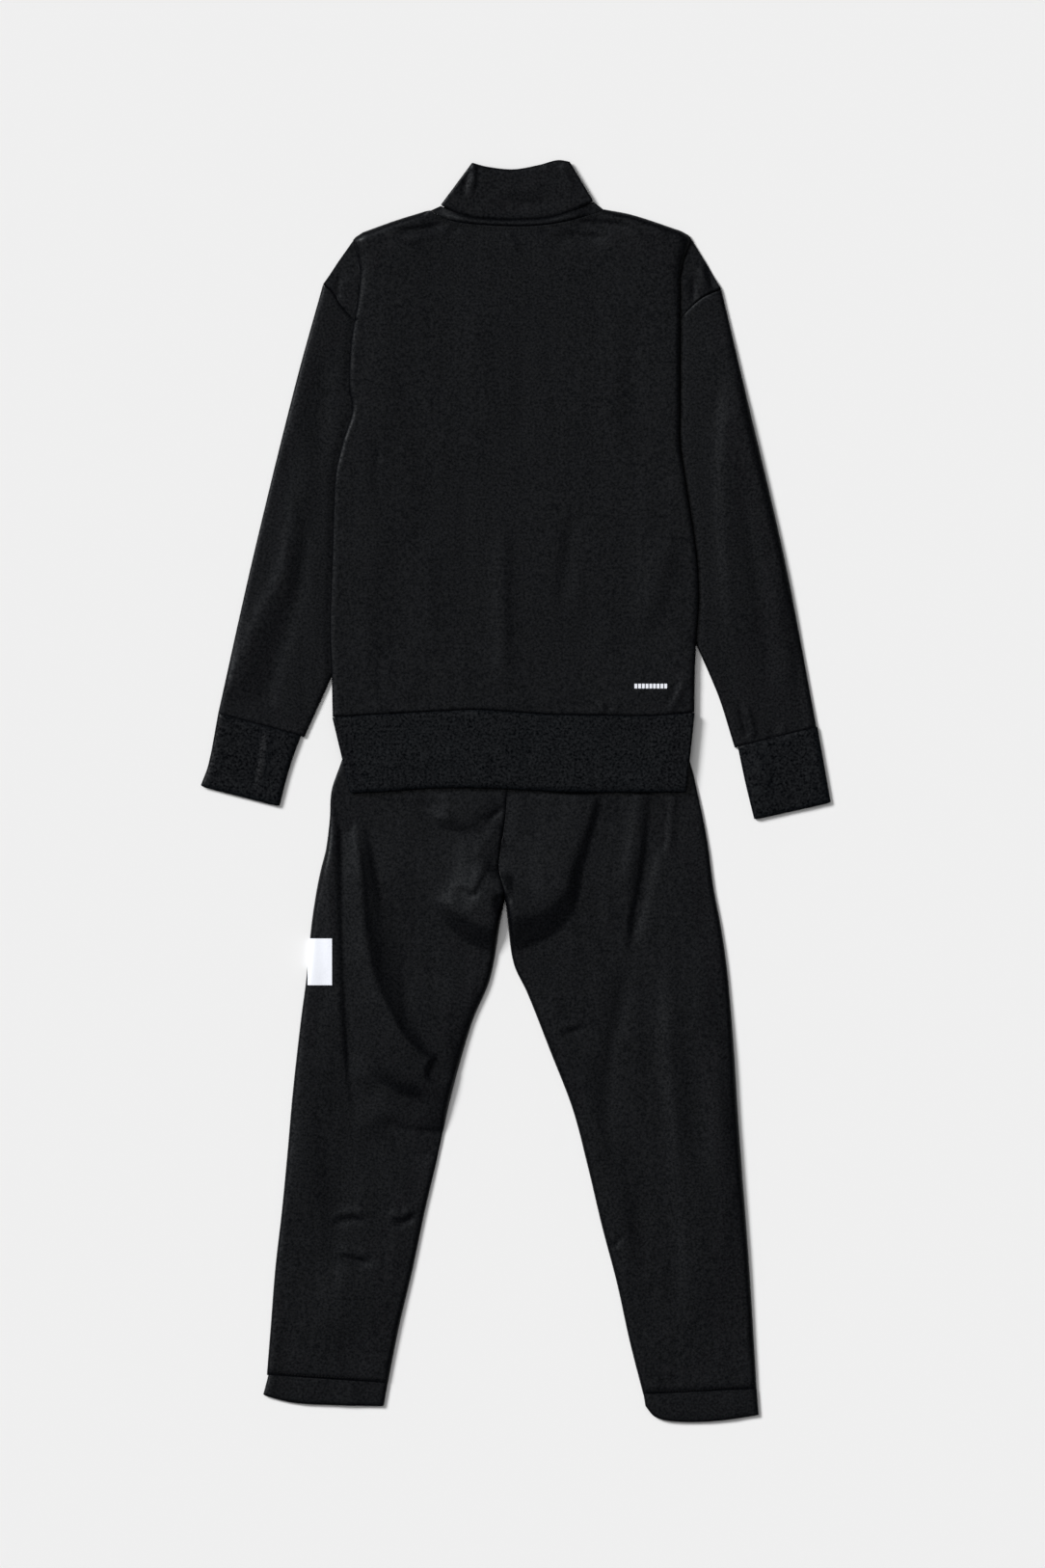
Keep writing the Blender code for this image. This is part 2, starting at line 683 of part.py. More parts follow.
def make_zip(tape, metal):
    top = FRONT_NECK[0].y + FRONT_COLLAR_RISE
    count = 30
    rows = []
    for r in range(count + 1):
        y = mix(top, ZIP_END_UP, r / count)
        z = front_lift(y) + RIB + SEAM
        rows.append([(-ZIP_HALF, y, z), (0, y, z), (ZIP_HALF, y, z)])
    make_cloth("front_zip", rows, ZIP_TAPE, tape)

    bpy.ops.mesh.primitive_cube_add(size=1.0)
    slider = bpy.context.object
    slider.name = "zip_slider"
    slider.data.name = "zip_slider"
    for holder in slider.users_collection:
        holder.objects.unlink(slider)
    COLLECTION.objects.link(slider)
    slider.scale = [size * MM for size in SLIDER_SIZE]
    slider.location = (0.0, (top - SLIDER_DOWN) * MM, SLIDER_HEIGHT * MM)
    bpy.context.view_layer.update()
    bpy.ops.object.select_all(action="DESELECT")
    slider.select_set(True)
    bpy.context.view_layer.objects.active = slider
    bpy.ops.object.transform_apply(location=False, rotation=False, scale=True)
    rounded = slider.modifiers.new("rounded", "BEVEL")
    rounded.width = 0.3 * MM
    rounded.segments = 1
    slider.data.materials.append(metal)


def main():
    clear_scene()
    knit = make_material("black tricot", (0.0095, 0.0095, 0.0108), 0.55, 0.2)
    rib = make_material("black rib", (0.0088, 0.0098, 0.0112), 0.8, 0.1)
    tape = make_material("black zip tape", (0.008, 0.008, 0.009), 0.7, 0.0)
    metal = make_material("black zip metal", (0.02, 0.02, 0.02), 0.35, 0.0)
    make_back(knit)
    make_front("left", knit)
    make_front("right", knit)
    make_sleeves(knit, rib)
    make_hem_band(rib)
    make_collar(knit)
    make_neck_band(knit)
    make_zip(tape, metal)
    make_leg("left", LEG_LEFT, LEG_SEAM_LEFT, LEFT_FOLDS, knit)
    make_leg("right", LEG_RIGHT, LEG_SEAM_RIGHT, RIGHT_FOLDS, knit)
    make_leg_hem("left", LEG_SEAM_LEFT, LEG_END_LEFT, knit)
    make_leg_hem("right", LEG_SEAM_RIGHT, LEG_END_RIGHT, knit)
    make_waistband(knit)


main()
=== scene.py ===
import math

import bmesh
import bpy
import numpy as np
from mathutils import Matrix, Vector, noise
from mathutils.bvhtree import BVHTree


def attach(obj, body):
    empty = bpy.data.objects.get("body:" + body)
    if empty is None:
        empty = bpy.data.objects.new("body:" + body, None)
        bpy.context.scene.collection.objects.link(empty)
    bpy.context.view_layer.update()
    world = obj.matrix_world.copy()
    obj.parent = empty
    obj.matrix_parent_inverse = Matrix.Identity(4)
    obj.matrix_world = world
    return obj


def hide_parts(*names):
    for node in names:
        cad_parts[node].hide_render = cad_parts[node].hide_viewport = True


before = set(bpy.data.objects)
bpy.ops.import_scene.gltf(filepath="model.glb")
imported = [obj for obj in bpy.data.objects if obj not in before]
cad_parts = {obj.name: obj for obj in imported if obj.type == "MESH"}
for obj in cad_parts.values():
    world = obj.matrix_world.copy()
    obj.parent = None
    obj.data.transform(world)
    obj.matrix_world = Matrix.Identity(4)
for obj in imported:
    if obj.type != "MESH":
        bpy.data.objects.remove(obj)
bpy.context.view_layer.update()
print("frame loaded with", len(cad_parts), "nodes")

# Tables are in millimetres and meshes in metres:
# x to the wearer's right, y up to the collar, z up from the floor
mm = 0.001
cloth = {
    "knit": 1.2,  # wall of the tricot
    "rib": 1.6,  # wall of the double-knit rib
    "seam": 0.3,  # gap between two pieces at a seam
    "hemGap": 0.15,
    "turnedLow": 1.5,  # underside of an edge that is turned down to the floor
    "over": 4.0,  # underside of a layer that lies on a sleeve
    "sideRound": 5.0,  # radius of a tube's folded side
    "tubeFine": (0.0, 0.25, 0.8, 1.7, 3.0, 4.8, 7.0),  # columns of a tube beside its folded side
}


# Curves and lines

def ease(share):
    share = np.clip(share, 0.0, 1.0)
    return share * share * (3 - 2 * share)


def mix(a, b, share):
    return a + (b - a) * share


def curveAt(keys, values, key):
    # smooth curve through rows whose keys rise
    keys, values = np.asarray(keys, float), np.asarray(values, float)
    key = np.clip(key, keys[0], keys[-1])
    i = np.clip(np.searchsorted(keys, key, side="right") - 1, 0, len(keys) - 2)
    span = keys[i + 1] - keys[i]
    t = (key - keys[i]) / span

    def slope(k):
        low, high = np.maximum(k - 1, 0), np.minimum(k + 1, len(keys) - 1)
        return (values[high] - values[low]) / (keys[high] - keys[low]) * span

    start = (2 * t**3 - 3 * t**2 + 1) * values[i] + (t**3 - 2 * t**2 + t) * slope(i)
    end = (3 * t**2 - 2 * t**3) * values[i + 1] + (t**3 - t**2) * slope(i + 1)
    return start + end


def alongLine(spots, share):
    # points at shares of the length of a smooth line
    spots = np.asarray(spots, float)
    runs = np.concatenate([[0], np.cumsum(np.hypot(*np.diff(spots, axis=0).T))])
    reach = np.asarray(share) * runs[-1]
    return np.stack([curveAt(runs, spots[:, 0], reach), curveAt(runs, spots[:, 1], reach)], axis=-1)


def lineY(spots, x):
    spots = np.asarray(spots, float)
    return curveAt(spots[:, 0], spots[:, 1], x)


def lineLength(a, b):
    return float(np.hypot(*(np.asarray(b) - np.asarray(a))))


def spacing(length, step, fine=(0.0, 0.3, 0.8, 1.6, 2.8, 4.4, 6.4)):
    # shares across a length: close together at both ends, even between them
    fine = np.array(fine)
    count = max(int((length - 2 * fine[-1]) / step), 2)
    middle = np.linspace(fine[-1], length - fine[-1], count + 1)[1:-1]
    return np.concatenate([fine, middle, (length - fine)[::-1]]) / length


def roundEdge(distance, radius):
    # 0 at an edge, rising like a quarter circle to 1
    share = np.clip(distance / radius, 0.0, 1.0)
    return np.sqrt(np.maximum(1 - (1 - share) ** 2, 0.0))


def seamDip(distance, depth, reach):
    # how far a seam at distance 0 pulls the cloth down beside it
    return depth * np.exp(-((distance / reach) ** 2))


def endDip(distance, depth, radius):
    # how far the cloth rounds down to its end at distance 0
    return depth * (1 - roundEdge(distance, radius))


def edgeShare(count):
    # across the upper layer of a tube: 0 at both sides, 1 from the seventh point inward
    place = np.arange(count)
    return np.clip(np.minimum(place, place[::-1]) / 6, 0, 1)[None, :]


# Folds: soft troughs and ridges along given lines

def fold(height, left, right, *path, start=0.3, end=0.3, kind="round"):
    # left and right are the widths on each side of the path, and start and end the shares over which it fades;
    # height and a ramp's width may be rows of values along the path
    return dict(height=height, left=left, right=right, path=path, start=start, end=end, kind=kind)


def crest(height, back, ramp, *path, start=0.3, end=0.3):
    # a sharp fold edge: it falls slowly on its left, and from its sharp top over the ramp on its right
    return fold(height, back, ramp, *path, start=start, end=end, kind="crest")


def drop(height, ramp, back, *path, start=0.3, end=0.3):
    # cloth that hangs to a crisp line: on the left of the path it rises over the ramp, then sinks slowly
    return fold(height, back, ramp, *path, start=start, end=end, kind="drop")


def along(values, share):
    values = np.atleast_1d(values)
    return np.interp(share, np.linspace(0, 1, len(values)), values)


def profile(mark, gap, side, share):
    # height of a fold's section at a distance from its path
    if mark["kind"] == "round":
        return np.exp(-((gap / np.where(side > 0, mark["left"], mark["right"])) ** 2))
    # a ramp is straight for 0.7 of its width and rounds off to its top in the rest
    ramp = along(mark["right"], share)
    climb = np.clip(gap / ramp, 0, 1)
    rise = np.where(climb < 0.7, climb / 0.85, 1 - 1.96 * (1 - climb) ** 2)
    if mark["kind"] == "crest":
        return np.where(side > 0, np.exp(-((gap / mark["left"]) ** 2)), (1 - climb) ** 2)
    sink = np.exp(-((np.maximum(gap - ramp, 0) / mark["left"]) ** 2))
    return np.where(side > 0, rise * sink, 0.0)


def foldHeight(folds, x, y):
    bend, over = 8.0, 20.0  # how softly the two arms of a bend merge, and over what distance from the path
    total = np.zeros_like(x)
    for mark in folds:
        path = alongLine(mark["path"], np.linspace(0, 1, 4 * len(mark["path"])))
        reach = 2.5 * (mark["left"] + np.max(mark["right"]))
        near = (x > path[:, 0].min() - reach) & (x < path[:, 0].max() + reach)
        near &= (y > path[:, 1].min() - reach) & (y < path[:, 1].max() + reach)
        px, py = x[near], y[near]
        if not len(px):
            continue
        gap, share, side = np.full(px.shape, 1e9), np.zeros(px.shape), np.zeros(px.shape)
        gaps, shares = [], []
        pieces = len(path) - 1
        for k in range(pieces):
            ax, ay = path[k]
            rx, ry = path[k + 1] - path[k]
            t = np.clip(((px - ax) * rx + (py - ay) * ry) / (rx * rx + ry * ry), 0, 1)
            dx, dy = px - ax - t * rx, py - ay - t * ry
            gaps.append(np.hypot(dx, dy))
            shares.append((k + t) / pieces)
            closer = gaps[-1] < gap
            gap = np.where(closer, gaps[-1], gap)
            share = np.where(closer, shares[-1], share)
            side = np.where(closer, rx * dy - ry * dx, side)
        # inside a bend the values come from both arms of the path, so no step forms between them
        weights = np.exp((gap - np.array(gaps)) / bend)
        blended = np.sum(weights * np.array(shares), axis=0) / np.sum(weights, axis=0)
        share = mix(share, blended, ease((gap - bend) / over))
        fade = ease(share / mark["start"]) * ease((1 - share) / mark["end"])
        total[near] += along(mark["height"], blended) * profile(mark, gap, side, blended) * fade
    return total


def drift(x, y, across, down, height, seed):
    # slow unevenness of cloth that was laid by hand: a broad wave, and a finer one of less height
    finer, less = 2.3, 0.4
    flat = [
        noise.noise(Vector((px / across, py / down, seed)))
        + less * noise.noise(Vector((px / across * finer, py / down * finer, seed + 7)))
        for px, py in zip(x.ravel(), y.ravel())
    ]
    return height * np.array(flat).reshape(x.shape)


def gathers(line, count, up, height, width, seed):
    # short puckers that stand on a seam, uneven in place, length and depth
    rng = np.random.RandomState(seed)
    marks = []
    for k in range(count):
        share = (k + 0.5 + rng.uniform(-0.35, 0.35)) / count
        x, y = alongLine(line, share)
        rise = up * rng.uniform(0.5, 1.5)
        lean = rng.uniform(-0.25, 0.25) * rise
        size = width * rng.uniform(0.8, 1.4)
        depth = height * rng.uniform(0.3, 1.0)
        marks.append(fold(depth, size, size, (x, y), (x + lean, y + rise), start=0.01, end=0.9))
    return marks


# Meshes

def addPiece(name, mesh, material):
    mesh.materials.append(material)
    piece = bpy.data.objects.new(name, mesh)
    bpy.context.scene.collection.objects.link(piece)
    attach(piece, "root")
    return piece


def makeShell(name, grid, wall, material, node, ring=False):
    # grid holds rows of (x, y, z) in millimetres; the wall grows out of its front
    rows, columns = grid.shape[:2]
    index = np.arange(rows * columns).reshape(rows, columns)
    right = np.roll(index, -1, axis=1)
    if not ring:
        index, right = index[:, :-1], right[:, :-1]
    faces = np.stack([index[:-1], index[1:], right[1:], right[:-1]], axis=-1).reshape(-1, 4)
    mesh = bpy.data.meshes.new(name)
    mesh.from_pydata((grid.reshape(-1, 3) * mm).tolist(), [], faces.tolist())
    mesh.shade_smooth()
    piece = addPiece(name, mesh, material)
    thicken = piece.modifiers.new("wall", "SOLIDIFY")
    thicken.thickness = wall * mm
    thicken.offset = 1.0
    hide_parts(node)
    return piece


def surfaceOf(*pieces):
    # finds the height of the top of some pieces at a place on the layout
    bpy.context.view_layer.update()
    graph = bpy.context.evaluated_depsgraph_get()
    trees = [BVHTree.FromObject(piece, graph) for piece in pieces]

    def heightAt(x, y):
        above, down = Vector((x * mm, y * mm, 0.1)), Vector((0, 0, -1))
        hits = [tree.ray_cast(above, down)[0] for tree in trees]
        return max([hit.z for hit in hits if hit] or [0.0]) / mm

    return heightAt


# Shader groups

def newGroup(name, inputs, outputs):
    group = bpy.data.node_groups.new(name, "ShaderNodeTree")
    for label, kind, value in inputs:
        socket = group.interface.new_socket(name=label, in_out="INPUT", socket_type=kind)
        if value is not None:
            socket.default_value = value
    for label, kind in outputs:
        group.interface.new_socket(name=label, in_out="OUTPUT", socket_type=kind)
    return group, group.nodes.new("NodeGroupInput"), group.nodes.new("NodeGroupOutput")


def plug(tree, socket, value):
    if hasattr(value, "is_output"):
        tree.links.new(value, socket)
    else:
        socket.default_value = value


def setInputs(node, values):
    for label, value in values.items():
        node.inputs[label].default_value = value


def calc(tree, operation, *values):
    node = tree.nodes.new("ShaderNodeMath")
    node.operation = operation
    for socket, value in zip(node.inputs, values):
        plug(tree, socket, value)
    return node.outputs[0]


def times(tree, a, b):
    return calc(tree, "MULTIPLY", a, b)


def remap(tree, value, ends):
    node = tree.nodes.new("ShaderNodeMapRange")
    tree.links.new(value, node.inputs["Value"])
    setInputs(node, ends)
    return node.outputs[0]


def noiseAt(tree, place, scale, detail=2.0, stretch=(1, 1, 1)):
    mapping = tree.nodes.new("ShaderNodeMapping")
    tree.links.new(place, mapping.inputs["Vector"])
    mapping.inputs["Scale"].default_value = stretch
    texture = tree.nodes.new("ShaderNodeTexNoise")
    tree.links.new(mapping.outputs[0], texture.inputs["Vector"])
    plug(tree, texture.inputs["Scale"], scale)
    texture.inputs["Detail"].default_value = detail
    texture.inputs["Roughness"].default_value = 0.6
    return texture.outputs["Fac"]


def buildKnitGroup():
    # rows of loops: wales up the cloth, courses across it, and the uneven yarn that gives the grain
    group, given, result = newGroup(
        "knitLoops",
        [
            ("Place", "NodeSocketVector", None),
            ("Wales Per Metre", "NodeSocketFloat", 1400.0),
            ("Courses Per Metre", "NodeSocketFloat", 1100.0),
            ("Grain Scale", "NodeSocketFloat", 900.0),
            ("Grain", "NodeSocketFloat", 0.5),
        ],
        [("Height", "NodeSocketFloat"), ("Grain Mask", "NodeSocketFloat")],
    )
    split = group.nodes.new("ShaderNodeSeparateXYZ")
    group.links.new(given.outputs["Place"], split.inputs[0])

    def ridges(axis, count):
        phase = times(group, times(group, split.outputs[axis], given.outputs[count]), 2 * math.pi)
        return calc(group, "SINE", phase)

    wale, course = ridges("X", "Wales Per Metre"), ridges("Y", "Courses Per Metre")
    loops = calc(group, "ADD", times(group, wale, 0.35), times(group, course, 0.15))
    yarn = noiseAt(group, given.outputs["Place"], given.outputs["Grain Scale"], 2.0)
    grain = remap(group, yarn, {"From Min": 0.32, "From Max": 0.68})
    raised = times(group, grain, given.outputs["Grain"])
    group.links.new(calc(group, "ADD", loops, raised), result.inputs["Height"])
    group.links.new(grain, result.inputs["Grain Mask"])
    return group


def buildToneGroup():
    # slow changes of tone: streaks along the wales and broad patches, and the grain over them
    group, given, result = newGroup(
        "clothTone",
        [
            ("Place", "NodeSocketVector", None),
            ("Streak", "NodeSocketFloat", 0.15),
            ("Patch", "NodeSocketFloat", 0.15),
            ("Grain", "NodeSocketFloat", 0.5),
            ("Grain Mask", "NodeSocketFloat", 0.5),
            ("Colour", "NodeSocketColor", (0.01, 0.01, 0.01, 1.0)),
        ],
        [("Colour", "NodeSocketColor")],
    )

    def swing(mask, amount):
        return times(group, calc(group, "SUBTRACT", mask, 0.5), given.outputs[amount])

    streak = noiseAt(group, given.outputs["Place"], 1.0, 2.0, (260, 12, 12))
    patch = noiseAt(group, given.outputs["Place"], 14.0, 2.0)
    tone = calc(group, "ADD", swing(streak, "Streak"), swing(patch, "Patch"))
    tone = calc(group, "ADD", tone, swing(given.outputs["Grain Mask"], "Grain"))
    tone = calc(group, "ADD", times(group, tone, 2.0), 1.0)
    scale = group.nodes.new("ShaderNodeVectorMath")
    scale.operation = "SCALE"
    group.links.new(given.outputs["Colour"], scale.inputs[0])
    group.links.new(calc(group, "MAXIMUM", tone, 0.05), scale.inputs["Scale"])
    group.links.new(scale.outputs[0], result.inputs["Colour"])
    return group


def buildPrintGroup():
    # a plain rectangular print, or a row of short bars when Bars is above 1
    group, given, result = newGroup(
        "plainPrint",
        [
            ("Place", "NodeSocketVector", None),
            ("Centre X", "NodeSocketFloat", 0.0),
            ("Centre Y", "NodeSocketFloat", 0.0),
            ("Width", "NodeSocketFloat", 0.01),
            ("Height", "NodeSocketFloat", 0.01),
            ("Bars", "NodeSocketFloat", 1.0),
            ("Gap Share", "NodeSocketFloat", 0.0),
        ],
        [("Mask", "NodeSocketFloat")],
    )
    split = group.nodes.new("ShaderNodeSeparateXYZ")
    group.links.new(given.outputs["Place"], split.inputs[0])

    def offset(axis, size):
        gap = calc(group, "SUBTRACT", split.outputs[axis], given.outputs[f"Centre {axis}"])
        return calc(group, "DIVIDE", gap, given.outputs[size])

    def within(share):
        return calc(group, "LESS_THAN", calc(group, "ABSOLUTE", share), 0.5)

    across, up = offset("X", "Width"), offset("Y", "Height")
    step = calc(group, "FRACT", times(group, calc(group, "ADD", across, 0.5), given.outputs["Bars"]))
    inked = calc(group, "GREATER_THAN", step, given.outputs["Gap Share"])
    mask = times(group, times(group, within(across), within(up)), inked)
    group.links.new(mask, result.inputs["Mask"])
    return group


knitLoops = buildKnitGroup()
clothTone = buildToneGroup()
plainPrint = buildPrintGroup()

tricotFinish = {
    "colour": (0.0017, 0.0019, 0.0026),
    "roughness": 0.38,
    "specular": 0.05,
    "tint": (0.84, 0.92, 1.0),
    "lustre": 0.22,  # strongest shine of the single yarns over the plain cloth
    "wales": 1450.0,
    "courses": 1150.0,
    "grainScale": 430.0,
    "grain": 0.45,
    "bump": 0.5,
    "loopHeight": 0.00012,  # metres
    "streak": 0.12,
    "patch": 0.20,
    "ink": (0.80, 0.82, 0.88),  # colour of a print
}
ribFinish = dict(
    tricotFinish,
    colour=(0.0024, 0.0031, 0.0042),
    roughness=0.42,
    specular=0.0,
    tint=(0.86, 0.93, 1.0),
    lustre=0.30,
    grainScale=400.0,
    grain=0.5,
    bump=1.0,
    streak=0.1,
    patch=0.3,
)


def newMaterial(name):
    material = bpy.data.materials.new(name)
    material.use_nodes = True
    return material, material.node_tree, material.node_tree.nodes["Principled BSDF"]


def placeIn(tree):
    return tree.nodes.new("ShaderNodeTexCoord").outputs["Object"]


def useGroup(tree, group, place, values):
    node = tree.nodes.new("ShaderNodeGroup")
    node.node_tree = group
    tree.links.new(place, node.inputs["Place"])
    setInputs(node, values)
    return node


def makeCloth(name, finish, turn=0.0, prints=()):
    # turn is the angle of the wales from the layout's y axis, in degrees
    material, tree, shader = newMaterial(name)
    spot = placeIn(tree)
    mapping = tree.nodes.new("ShaderNodeMapping")
    tree.links.new(spot, mapping.inputs["Vector"])
    mapping.inputs["Rotation"].default_value = (0.0, 0.0, math.radians(turn))
    place = mapping.outputs[0]
    loops = useGroup(tree, knitLoops, place, {
        "Wales Per Metre": finish["wales"],
        "Courses Per Metre": finish["courses"],
        "Grain Scale": finish["grainScale"],
        "Grain": finish["grain"],
    })
    tone = useGroup(tree, clothTone, place, {
        "Streak": finish["streak"],
        "Patch": finish["patch"],
        "Grain": finish["grain"],
        "Colour": (*finish["colour"], 1.0),
    })
    tree.links.new(loops.outputs["Grain Mask"], tone.inputs["Grain Mask"])
    colour = tone.outputs["Colour"]
    for shape in prints:
        printed = useGroup(tree, plainPrint, spot, shape)
        blend = tree.nodes.new("ShaderNodeMix")
        blend.data_type = "RGBA"
        tree.links.new(printed.outputs["Mask"], blend.inputs["Factor"])
        tree.links.new(colour, blend.inputs["A"])
        blend.inputs["B"].default_value = (*finish["ink"], 1.0)
        colour = blend.outputs["Result"]
    tree.links.new(colour, shader.inputs["Base Color"])

    bump = tree.nodes.new("ShaderNodeBump")
    setInputs(bump, {"Strength": finish["bump"], "Distance": finish["loopHeight"]})
    tree.links.new(loops.outputs["Height"], bump.inputs["Height"])
    tree.links.new(bump.outputs["Normal"], shader.inputs["Normal"])
    shine = remap(tree, loops.outputs["Grain Mask"], {"To Max": finish["lustre"]})
    tree.links.new(shine, shader.inputs["Coat Weight"])
    setInputs(shader, {
        "Roughness": finish["roughness"],
        "Specular IOR Level": finish["specular"],
        "Specular Tint": (*finish["tint"], 1.0),
        "Coat Roughness": finish["roughness"],
    })
    return material


def makeHard(name, settings):
    # a plain material whose gloss changes in small patches
    material, tree, shader = newMaterial(name)
    patches = noiseAt(tree, placeIn(tree), settings["patches"], settings["detail"])
    low, high = settings["roughness"]
    tree.links.new(remap(tree, patches, {"To Min": low, "To Max": high}), shader.inputs["Roughness"])
    setInputs(shader, {
        "Base Color": (*settings["colour"], 1.0),
        "Specular IOR Level": settings["specular"],
    })
    return material


printedBar = {
    "Centre X": 0.1325,
    "Centre Y": 0.1035,
    "Width": 0.0330,
    "Height": 0.0046,
    "Bars": 9.0,
    "Gap Share": 0.26,
}
printedBlock = {
    "Centre X": -0.1930,
    "Centre Y": -0.1680,
    "Width": 0.0240,
    "Height": 0.0460,
}
jacketTricot = makeCloth("jacketTricot", tricotFinish, prints=(printedBar,))
leftSleeveTricot = makeCloth("leftSleeveTricot", tricotFinish, turn=14)
rightSleeveTricot = makeCloth("rightSleeveTricot", tricotFinish, turn=-14)
leftLegTricot = makeCloth("leftLegTricot", tricotFinish, turn=7, prints=(printedBlock,))
rightLegTricot = makeCloth("rightLegTricot", tricotFinish, turn=-7)
bandRib = makeCloth("bandRib", ribFinish)
leftCuffRib = makeCloth("leftCuffRib", ribFinish, turn=14)
rightCuffRib = makeCloth("rightCuffRib", ribFinish, turn=-14)
print("cloth materials made")

# Jacket outline

bodyEdge = {
    "up": [76, 118, 150, 189, 231, 277, 312, 343, 374, 400, 440, 485, 512, 543],
    "left": [-180.5, -181.5, -183, -182.5, -181, -179.5, -177.5, -171, -161.5, -164.5, -162.5, -156, -154, -160],
    "right": [176, 176.5, 178, 180.5, 178.5, 172, 166.5, 162.5, 162.5, 162.5, 162.5, 163, 163.5, 172],
}
shoulderLeft = [(-160, 543), (-150, 549.5), (-118, 561), (-84, 571.5)]
shoulderRight = [(87, 572), (115, 566.5), (162, 551), (172, 545.5)]
neckLine = [(-84, 571.5), (-67.5, 563), (-48.5, 559), (-12.5, 556.5), (22, 557), (52, 561.5), (87, 572)]
hemSeam = [(-180.5, 73), (-117, 76.5), (-67.5, 79), (-36, 80), (31, 75.5), (84.5, 74.5), (133, 74), (176, 77.5)]
bandBottom = [(-163, -1), (-131, 0.5), (-82, 4), (-29.5, 4), (24, 1.5), (55, 0), (168, 0)]
armhole = {
    "left": [(-190, 499), (-180, 490), (-174, 479), (-160, 464), (-110, 412), (-70, 371)],
    "right": [(202.5, 494.5), (184, 486), (164, 467), (112, 407), (76, 369)],
}
tuckUp = {"left": 464, "right": 468}


def bodySide(side, y):
    return curveAt(bodyEdge["up"], bodyEdge[side], y)


def outsideBody(x, y):
    # 0 under the jacket's body, 1 a little outside its folded edges
    gap = np.maximum(bodySide("left", y) - x, x - bodySide("right", y))
    return ease((gap + 2) / 10)


# Jacket back

jacketBack = {
    "step": 2.1,
    "low": 6.2,  # underside of the cloth between the sleeves
    "high": 7.2,  # underside over the sleeves and over the trousers
    "edge": 7.0,  # width of the rounded fold at each side
    "columns": (24, 84, 18),  # of the grid along a shoulder, the neck and a side's margin
    "shoulderRound": 7.0,
    "neckHeight": 5.8,  # underside at the neck band, and how far down it rises to the back's own
    "neckReach": 26,
    "armholeLow": 2.4,
    "armholeShown": {"left": 0.39, "right": 0.34},  # share of the armhole seam that isn't covered
    "gathers": (46, 9, 0.5, 2.6, 3),
    "hemDip": (1.1, 1.3),
    "legsTop": 155,  # y where the trousers' waist begins to lift the back, and the length of the rise
    "legsRise": 60,
    "between": 70,  # half of the way between the sleeves at the top, and how much wider it gets below
    "wider": 45,
    "neckHalf": 95,  # half width of the part that hangs from the neck band
    "drifts": [(26, 150, 0.42, 1.0), (90, 90, 0.7, 9.0)],
    "folds": [
        fold(-1.9, 3.5, 6, (-122, 551), (-90, 554), (-64, 560)),
        fold(0.9, 4, 4, (-118, 544), (-90, 547), (-66, 553)),
        fold(-0.8, 3, 3, (-54, 556), (-68, 548)),
        fold(-1, 3.5, 3.5, (18, 553), (34, 546), (58, 539)),
        fold(-1.7, 3.5, 6, (52, 560), (86, 559), (119, 556)),
        fold(-1.5, 3, 6, (40, 551), (64, 547), (92, 546)),
        fold(0.8, 3, 4, (-9, 554), (-3, 542), (4, 530)),
        fold(-0.7, 4, 4, (-135, 346), (-137, 315), (-135, 286)),
        fold(1.2, 7, 10, (-11, 276), (-12, 180), (-11, 90)),
        fold(-1, 10, 7, (58, 285), (50, 225), (41, 165)),
        fold(1.5, 11, 14, (156, 262), (142, 210), (125, 150)),
        fold(1.3, 3, 4.5, (170, 117), (161, 96), (150, 78), start=0.2, end=0.1),
        fold(-1.1, 3, 3, (163, 112), (155, 94), (147, 79), start=0.2, end=0.1),
        fold(1.1, 2.8, 2.8, (85, 92), (86, 76), start=0.5, end=0.05),
        fold(-1, 2.8, 2.8, (91, 90), (91, 76), start=0.5, end=0.05),
        fold(0.9, 2.8, 2.8, (98, 95), (98, 77), start=0.5, end=0.05),
        fold(0.9, 16, 20, (-120, 500), (-126, 420), (-124, 330)),
        fold(-0.8, 20, 16, (110, 480), (118, 400), (112, 320)),
        fold(0.9, 18, 14, (-92, 260), (-88, 190), (-90, 110)),
        fold(-0.7, 15, 15, (0, 470), (4, 400), (-2, 320)),
        fold(-1.2, 3, 4, (176, 511), (175, 481), end=0.2),
        fold(1, 3, 3, (182, 519), (186, 503), (190, 492), end=0.1),
        fold(-1, 3, 3, (188, 528), (191, 512), (194, 495), start=0.4, end=0.1),
        fold(-0.9, 3, 3, (-172, 514), (-175, 497), (-175, 484), start=0.4, end=0.1),
    ],
}


